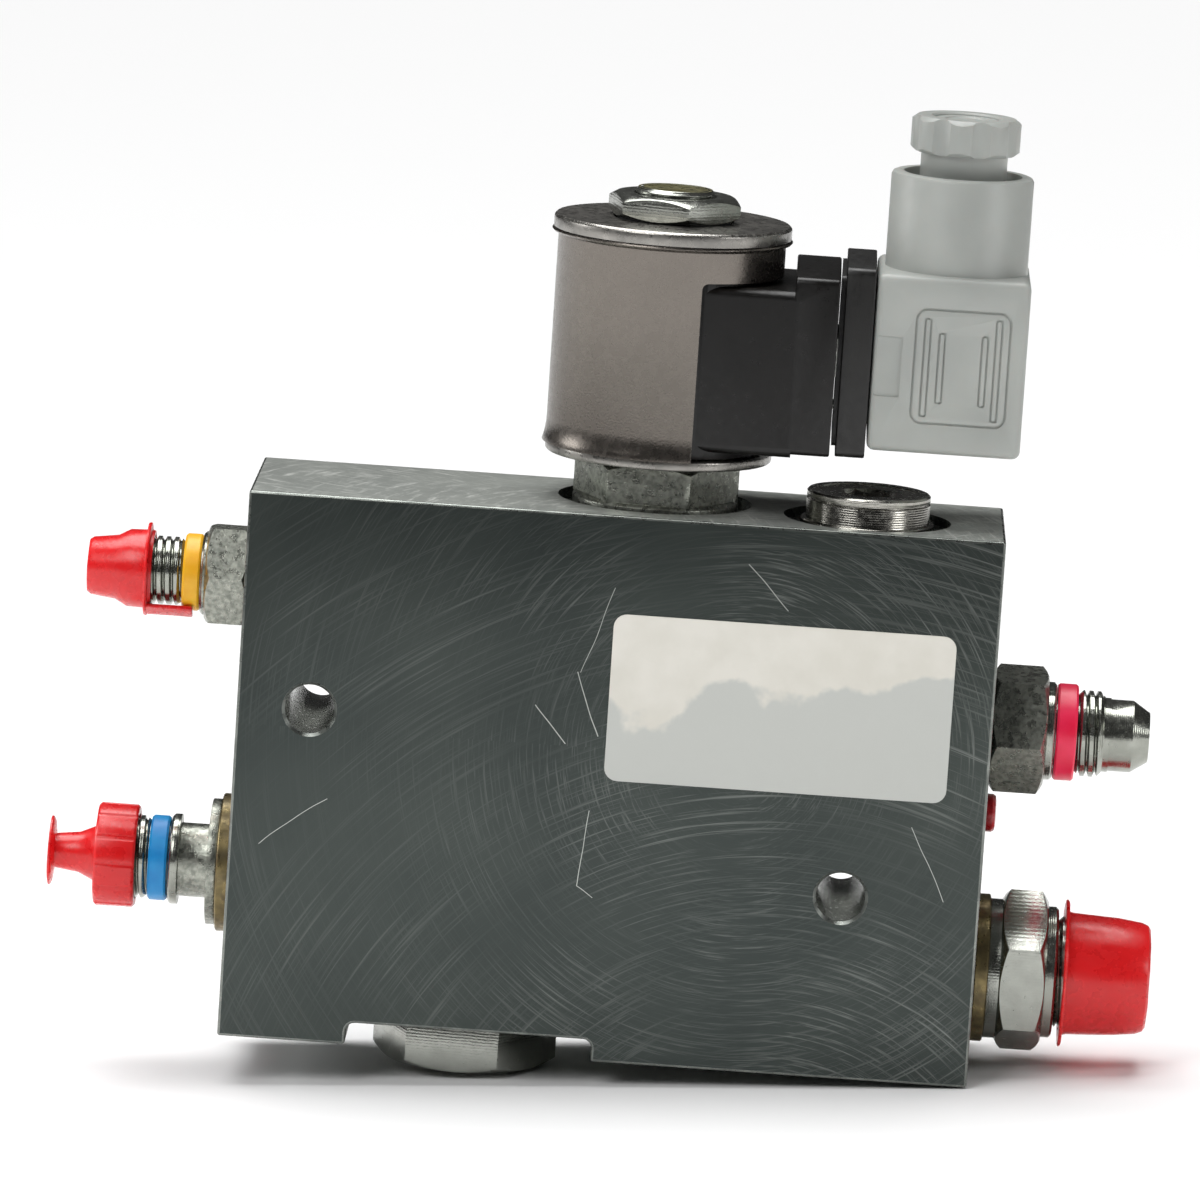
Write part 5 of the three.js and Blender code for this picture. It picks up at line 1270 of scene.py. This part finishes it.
class HoseFitting:
    """Builds a stud fitting with its coloured band and its seal."""

    def __init__(self, stud: Stud) -> None:
        """Keeps the sizes and finds the axis of the port."""
        self.stud = stud
        spot = centre(stud.node)
        self.side = 1 if spot.x > 0 else -1
        face = (high if self.side > 0 else low)("manifold_block").x
        self.axis = Matrix.Translation((face, spot.y, spot.z)) @ Matrix.Rotation(
            self.side * math.pi / 2, 4, "Y")

    def build(self) -> None:
        """Builds the stud, then its band and seal where it has them."""
        stud = self.stud
        radius, depth = stud.stem
        start = stud.hexagon[0]
        root, crest, end = stud.thread
        screw_start = stud.band[3] + 0.1 if stud.band else stud.shoulder[1]
        profile = [(radius - 1.2, -depth), (radius - 0.6, -depth + 0.6), (radius - 0.6, -3.4),
                   (radius - 1.2, -3.0), (radius - 1.2, -0.4)]
        if stud.collar:
            profile = profile[:3] + [(radius - 0.6, stud.collar[1]), (stud.collar[0], stud.collar[1]),
                                     (stud.collar[0], start + 0.1)]
        else:
            profile += [(radius - 1.2, start), (stud.neck, start)]
        profile += [(stud.neck, start + 0.2), (stud.neck, screw_start), (root, screw_start), (root, end),
                    *stud.nose]
        core = turn(profile, ROUND)
        bar = hexagon(stud.flats, stud.corner, *stud.hexagon)
        core = combine(core, bar, "UNION")
        rim = stud.shoulder[0]
        cuff = turn([(rim, stud.hexagon[1] - 0.4), (rim, stud.shoulder[1] - 0.4),
                     (rim - 0.4, stud.shoulder[1])])
        core = combine(core, cuff, "UNION")
        tip = stud.nose[-1][1]
        mouth = stud.bore + 0.5
        core = combine(
            core, turn([(stud.bore, -depth - 1), (stud.bore, tip - 0.5), (mouth + 0.2, tip + 0.2)], SMALL))
        core = soften(core, 0.12, 2, 35)
        core = join(core, thread(root, crest, screw_start, end, stud.pitch))
        core = join(core, thread(radius - 0.62, radius, -depth + 0.4, -3.5, 1.4))
        side, face = self.side, self.axis.translation.x
        past_hexagon = stud.hexagon[1] + 0.2
        dress(place(core, self.axis), stud.finish,
              (TURNED_ZINC, lambda at, way: side * (at.x - face) > past_hexagon))
        hand_over(core, stud.node + "_turned", "manifold", stud.slot, stud.node)
        if stud.band:
            self.add_band()
        if stud.seal:
            self.add_seal()

    def add_band(self) -> None:
        """The coloured band: a soft ring with round edges."""
        node, radius, start, end, finish, slot = self.stud.band
        inner = self.stud.neck + 0.2
        ring = turn([(inner, start), (radius - 0.3, start), (radius, start + 0.35),
                     (radius, (start + end) / 2), (radius, end - 0.35), (radius - 0.3, end), (inner, end)],
                    ROUND, ring=True)
        dress(place(ring, self.axis), finish)
        hand_over(ring, node + "_moulded", "manifold", slot, node)

    def add_seal(self) -> None:
        """The bonded seal's steel washer: a plain ring."""
        node, radius, width = self.stud.seal
        inner = self.stud.stem[0] + 0.2
        ring = turn([(inner, 0.1), (radius - 0.2, 0.1), (radius, 0.3), (radius, width - 0.1),
                     (radius - 0.2, width + 0.1), (inner, width + 0.1)],
                    FINE, ring=True)
        dress(place(ring, self.axis), BONDED)
        hand_over(ring, node + "_washer", "manifold", "bonded_seal", node)


STUDS = (Stud("upper_left_fitting", (4.75, 10.5), 15.9, 94, (0.1, 7.3), (7.0, 8.1), 5.0, (5.05, 5.7, 19.6),
              ((4.6, 19.6), (4.6, 20.3), (4.35, 20.3), (4.35, 21.2), (2.7, 23.6)), 2.2, 1.4, FORGED_ZINC,
              "fitting_zinc", band=("upper_left_band", 6.45, 8.2, 11.1, YELLOW_BAND, "yellow_band")),
         Stud("lower_left_fitting", (8.2, 11.5), 21.6, 109, (3.9, 9.4), (7.6, 10.6), 6.2, (6.2, 6.95, 21.4),
              ((6.2, 22.0),), 4.0, 1.4, FORGED_ZINC, "fitting_zinc", collar=(10.6, 2.4, 0),
              band=("lower_left_band", 7.15, 10.9, 14.0, BLUE_BAND, "blue_band"),
              seal=("lower_left_seal", 11.6, 2.2)),
         Stud("upper_right_fitting", (6.4, 11.5), 19.0, 97.5, (0.1, 9.3), (8.2, 10.7), 6.3,
              (6.35, 7.2, 18.9), ((6.2, 18.9), (6.2, 19.9), (6.0, 19.9), (6.0, 23.7), (4.1, 26.6)), 3.75,
              1.41, FORGED_ZINC, "fitting_zinc",
              band=("upper_right_band", 8.1, 10.9, 14.3, PINK_BAND, "pink_band")),
         Stud("lower_right_fitting", (10.3, 13.5), 24.2, 65, (4.3, 12.0), (11.0, 13.8), 8.7,
              (8.6, 9.45, 23.6), ((8.4, 23.6), (8.4, 24.4), (8.1, 24.4), (8.1, 25.4), (6.3, 27.9)), 5.2,
              1.8, BRIGHT_ZINC, "bright_zinc", collar=(11.7, 2.4, 0),
              seal=("lower_right_seal", 12.4, 2.2)),)


class DustCaps:
    """The three red caps, each moulded to its fitting's thread."""

    def axis(self, fitting: str) -> Matrix:
        """The outward axis of the port that a fitting sits in."""
        stud = next(one for one in STUDS if one.node == fitting)
        return HoseFitting(stud).axis

    def upper_left(self) -> None:
        """The tapered cap with a thin flange and a pull tab."""
        bore, outer = 5.95, 6.45
        profile = [(bore, 16.3), (outer, 16.3), (outer + 0.1, 16.8), (7.7, 16.95), (7.8, 17.2),
                   (7.7, 17.45), (outer + 0.1, 17.6), (outer, 20.4), (5.35, 22.4), (4.8, 26.5), (4.4, 27.1),
                   (3.5, 27.1), (3.3, 26.9), (0.5, 26.9), (0.5, 26.2), (4.2, 26.2), (4.9, 22.3),
                   (bore, 20.1)]
        shell = turn(profile, ROUND, ring=True)
        angle = math.radians(210)
        tab = block((6.75, -1.8, 9.2), (7.45, 1.8, 17.2), 0.25)
        tab = place(tab, Matrix.Rotation(angle, 4, "Z"))
        shell = combine(shell, tab, "UNION")
        dress(place(crumple(shell, 6, 0.25), self.axis("upper_left_fitting")), POLYTHENE)
        hand_over(shell, "upper_left_dust_cap", "upper_left_cap", "red_plastic", "upper_left_cap")

    def lower_left(self, ribs: int = 12) -> None:
        """The grip cap: a ribbed barrel, a flared stem and a thin pull disc."""
        bore = 7.2
        barrel = turn([(bore, 16.2), (8.3, 16.2), (8.65, 16.6), (8.65, 22.6), (8.3, 23.0), (4.6, 23.4),
                       (3.4, 26.0), (2.9, 30.0), (5.2, 30.3), (5.8, 30.6), (5.8, 30.9), (5.4, 31.0)],
                      FINE)
        for number in range(ribs):
            angle = 2 * math.pi * number / ribs
            groove = turn([(0.9, 15), (0.9, 23.5)], 24)
            barrel = combine(
                barrel,
                place(groove, Matrix.Translation((9.35 * math.cos(angle), 9.35 * math.sin(angle), 0))))
        barrel = combine(barrel, turn([(bore, 15), (bore, 22.25)], ROUND))
        barrel = soften(barrel, 0.15, 2, 35)
        dress(place(crumple(barrel, 7, 0.2, 30), self.axis("lower_left_fitting")), POLYTHENE)
        hand_over(barrel, "lower_left_dust_cap", "lower_left_cap", "red_plastic", "lower_left_cap")

    def lower_right(self) -> None:
        """The large tapered cap with a turned-out flange."""
        bore, outer = 9.7, 10.2
        profile = [(bore, 14.9), (12.2, 14.95), (12.4, 15.2), (12.2, 15.5), (outer + 0.2, 15.6),
                   (outer, 16.4), (10.0, 20.0), (9.75, 24.0), (9.35, 27.8), (8.9, 29.0), (8.3, 29.4),
                   (5.0, 29.4), (4.7, 29.2), (0.5, 29.2), (0.5, 28.6), (7.8, 28.6), (8.85, 27.6),
                   (9.3, 24.0), (bore, 20.0)]
        shell = turn(profile, FINE, ring=True)
        dress(place(crumple(shell, 8, 0.45, 60), self.axis("lower_right_fitting")), POLYTHENE)
        hand_over(shell, "lower_right_dust_cap", "lower_right_cap", "red_plastic", "lower_right_cap")

    def build(self) -> None:
        """Builds the three caps."""
        self.upper_left()
        self.lower_left()
        self.lower_right()


@dataclass
class Plugs:
    """The hexagon plug under the block and the small lacquered plug on its side."""

    flats: float = 27.0
    corner: float = 7.0
    hex_height: float = 8.3
    stem: float = 10.3
    stem_depth: float = 11.0

    def build(self) -> None:
        """Builds both plugs."""
        middle = centre("bottom_plug")
        seat = low("bottom_plug").z + self.hex_height + 0.1
        axis = Matrix.Translation((middle.x, middle.y, seat)) @ Matrix.Rotation(math.pi, 4, "X")
        stem = turn([(self.stem - 1.2, -self.stem_depth), (self.stem - 0.6, -self.stem_depth + 0.6),
                     (self.stem - 0.6, -3.2), (self.stem - 1.8, -2.9), (self.stem - 1.8, 0.5)])
        bar = hexagon(self.flats, self.corner, 0.1, 0.1 + self.hex_height, (False, True))
        bar = combine(bar, stem, "UNION")
        face = 0.1 + self.hex_height
        bar = combine(bar, turn([(8.6, face - 0.35), (8.9, face + 0.1), (8.9, face + 1)], FINE))
        bar = join(soften(bar, 0.15, 2, 35),
                   thread(self.stem - 0.62, self.stem, -self.stem_depth + 0.4, -3.3, 1.5))
        dress(place(bar, axis), BRIGHT_ZINC)
        hand_over(bar, "bottom_hexagon_plug", "manifold", "bright_zinc", "bottom_plug")
        spot = centre("side_plug")
        out = Matrix.Translation((high("manifold_block").x, spot.y,
                                  spot.z)) @ Matrix.Rotation(math.pi / 2, 4, "Y")
        small = turn([(1.9, -6), (2.3, -5.6), (2.3, 0.1), (3.1, 0.1), (3.2, 0.3), (3.2, 1.4), (2.9, 1.85),
                      (2.2, 2.0), (1.6, 2.0), (1.4, 1.7)],
                     SMALL)
        dress(place(small, out), LACQUER)
        hand_over(small, "side_sealing_plug", "manifold", "red_lacquer", "side_plug")


@dataclass
class Springs:
    """The two enclosed springs: round wire, wound at rest; the real ones are squeezed as the armature or the
    poppet lifts.
    """

    wire: float = 0.35
    turns: int = 6
    travels: dict[str, tuple[str, float]] = field(default_factory=lambda: {
        "return_spring": ("armature_stroke", 2.5), "check_spring": ("check_lift", 3.0)})

    def wind(self, node: str) -> Piece:
        """Winds round wire up the space of one CAD spring.

        Args:
            node: The spring's node.

        Returns:
            The closed helix.
        """
        lower, upper, middle = low(node), high(node), centre(node)
        radius = (upper.x - lower.x) / 2 - self.wire
        start = Vector((middle.x + radius, middle.y, lower.z + self.wire)) * MM
        deselect()
        bpy.ops.mesh.primitive_circle_add(vertices=12, radius=self.wire * MM, location=start,
                                          rotation=(math.pi / 2, 0, 0))
        coil = bpy.context.object
        bpy.ops.object.transform_apply(location=True, rotation=True, scale=True)
        place(coil, Matrix.Translation(-middle))
        screw = coil.modifiers.new("winding", "SCREW")
        screw.axis = "Z"
        screw.steps = screw.render_steps = SMALL
        screw.iterations = self.turns
        screw.screw_offset = (upper.z - lower.z - 2 * self.wire) / self.turns * MM
        screw.use_merge_vertices = False
        hold(coil)
        bpy.ops.object.modifier_apply(modifier=screw.name)
        edit(coil)
        bpy.ops.mesh.fill_holes(sides=0)
        bpy.ops.mesh.normals_make_consistent(inside=False)
        close_edit()
        return place(coil, Matrix.Translation(middle))

    def build(self) -> None:
        """Winds both springs in drawn wire and gives each its own mesh."""
        for node, (joint, travel) in self.travels.items():
            coil = dress(self.wind(node), SPRING_WIRE)
            hand_over(coil, f"{node}_wire", "manifold", "spring_steel", node)
            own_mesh(coil)


@dataclass
class Internals:
    """The CAD nodes that stay: sealed pieces and seals, given their real finishes."""

    finishes: dict[str, Finish] = field(default_factory=lambda: {
                                            "pole_piece": GROUND_STEEL, "armature": GROUND_STEEL,
                                            "push_pin": GROUND_STEEL, "valve_spool": GROUND_STEEL,
                                            "check_seat_ring": GROUND_STEEL, "check_poppet": GROUND_STEEL,
                                            "coil_bobbin": NYLON_NATURAL, "coil_winding": COPPER,
                                            "terminal_pin_1": TINNED, "terminal_pin_2": TINNED,
                                            "earth_pin": TINNED, "connector_terminal_block": NYLON_BLACK,
                                            "gland_washer": BRIGHT_ZINC})

    def build(self) -> None:
        """Puts each finish in its node's slots; every other node left is a rubber seal."""
        for name, node in frame["nodes"].items():
            if node.hide_render:
                continue
            finish = self.finishes.get(name, NITRILE)
            node.data.materials.clear()
            node.data.materials.append(material_of(finish))
            LOG.info("%s keeps its CAD shape in %s", name, finish.name)


# ---------------------------------------------------------------- studio
@dataclass
class Studio:
    """A pale floor, soft lights and the camera."""

    azimuth: float = 1.07
    elevation: float = 9.37
    roll: float = 3.80
    distance: float = 1540.32
    lens: float = 276.37
    target: tuple[float, float, float] = (-4.02, -17.5, 28.39)
    floor_span: float = 6.0
    sun: float = 3.2
    room: float = 0.62
    room_front: float = 0.25

    def camera(self) -> None:
        """Looks at the front face from a little above, with the block's own tilt as a roll."""
        turn_z, up_angle, roll = (math.radians(v) for v in (self.azimuth, self.elevation, self.roll))
        back = Vector((math.sin(turn_z) * math.cos(up_angle), -math.cos(turn_z) * math.cos(up_angle),
                       math.sin(up_angle)))
        level = Vector((math.cos(turn_z), math.sin(turn_z), 0))
        upright = back.cross(level)
        right = math.cos(roll) * level + math.sin(roll) * upright
        upward = math.cos(roll) * upright - math.sin(roll) * level
        matrix = Matrix((right, upward, back)).transposed().to_4x4()
        matrix.translation = (Vector(self.target) + back * self.distance) * MM
        deselect()
        bpy.ops.object.camera_add()
        seen = bpy.context.object
        seen.matrix_world = matrix
        seen.data.lens = self.lens
        seen.data.sensor_width = 36
        seen.data.clip_end = 20
        bpy.context.scene.camera = seen

    def floor(self) -> None:
        """The floor under the plug's edge and the block's lower right edge."""
        plug = Vector((-8.0, 0, low("bottom_plug").z))
        edge = Vector((high("manifold_block").x, 0, low("manifold_block").z))
        tilt = math.atan2(edge.z - plug.z, edge.x - plug.x)
        deselect()
        bpy.ops.mesh.primitive_plane_add(size=self.floor_span, location=(plug + Vector((0, 0, -0.2))) * MM,
                                         rotation=(0, -tilt, 0))
        sheet = bpy.context.object
        sheet.name = "studio_floor"
        paper = bpy.data.materials.new("white_studio_paper")
        paper.use_nodes = True
        shader = paper.node_tree.nodes["Principled BSDF"]
        shader.inputs["Base Color"].default_value = linear("F7F7F7")
        shader.inputs["Roughness"].default_value = 0.9
        shader.inputs["Specular IOR Level"].default_value = 0.1
        sheet.data.materials.append(paper)

    def lights(self) -> None:
        """Lights the floor white from above and the object from soft boxes.

        The room is darker to the front, which deepens the reflections in the front faces.
        """
        boxes = (
            ((-0.55, -0.75, 0.75), 0.55, 5.0),
            ((0.85, -0.45, 0.45), 0.35, 2.2),
            ((-1.0, 0.1, 0.3), 0.4, 2.5),
        )
        for place_m, size, power in boxes:
            deselect()
            spot = Vector(place_m)
            facing = (-spot).to_track_quat("-Z", "Y").to_euler()
            bpy.ops.object.light_add(type="AREA", location=spot, rotation=facing)
            lamp = bpy.context.object.data
            lamp.size = size
            lamp.energy = power
        deselect()
        bpy.ops.object.light_add(type="SUN", location=(0, 0, 2),
                                 rotation=(math.radians(-12), math.radians(-10), 0))
        sun = bpy.context.object.data
        sun.energy = self.sun
        sun.angle = math.radians(50)
        room = bpy.data.worlds.new("pale_room")
        room.use_nodes = True
        tree = room.node_tree
        way = add(tree, "TexCoord").outputs["Generated"]
        depth = add(tree, "SeparateXYZ", links={"Vector": way}).outputs["Y"]
        fade = {"Value": depth, "From Min": -0.95, "From Max": -0.35, "To Min": self.room_front,
                "To Max": self.room}
        shade = add(tree, "MapRange", {"interpolation_type": "SMOOTHSTEP"}, fade).outputs["Result"]
        tree.links.new(shade, tree.nodes["Background"].inputs["Strength"])
        bpy.context.scene.world = room
        bpy.context.scene.view_settings.view_transform = "Standard"

    def build(self) -> None:
        """Sets up the whole studio."""
        self.camera()
        self.floor()
        self.lights()


def main() -> None:
    """Builds every sub-assembly in order and reports it."""
    logging.basicConfig(level=logging.INFO, format="%(name)s: %(message)s")
    parts = [Studio(), ManifoldBlock(), CartridgeValve(), SolenoidCoil(), CableConnector(), CheckCartridge(),
             *(HoseFitting(stud) for stud in STUDS), DustCaps(), Plugs(), Springs(), Internals()]
    for part in parts:
        part.build()
        LOG.info("%s done", type(part).__name__)


if __name__ == "__main__":
    main()
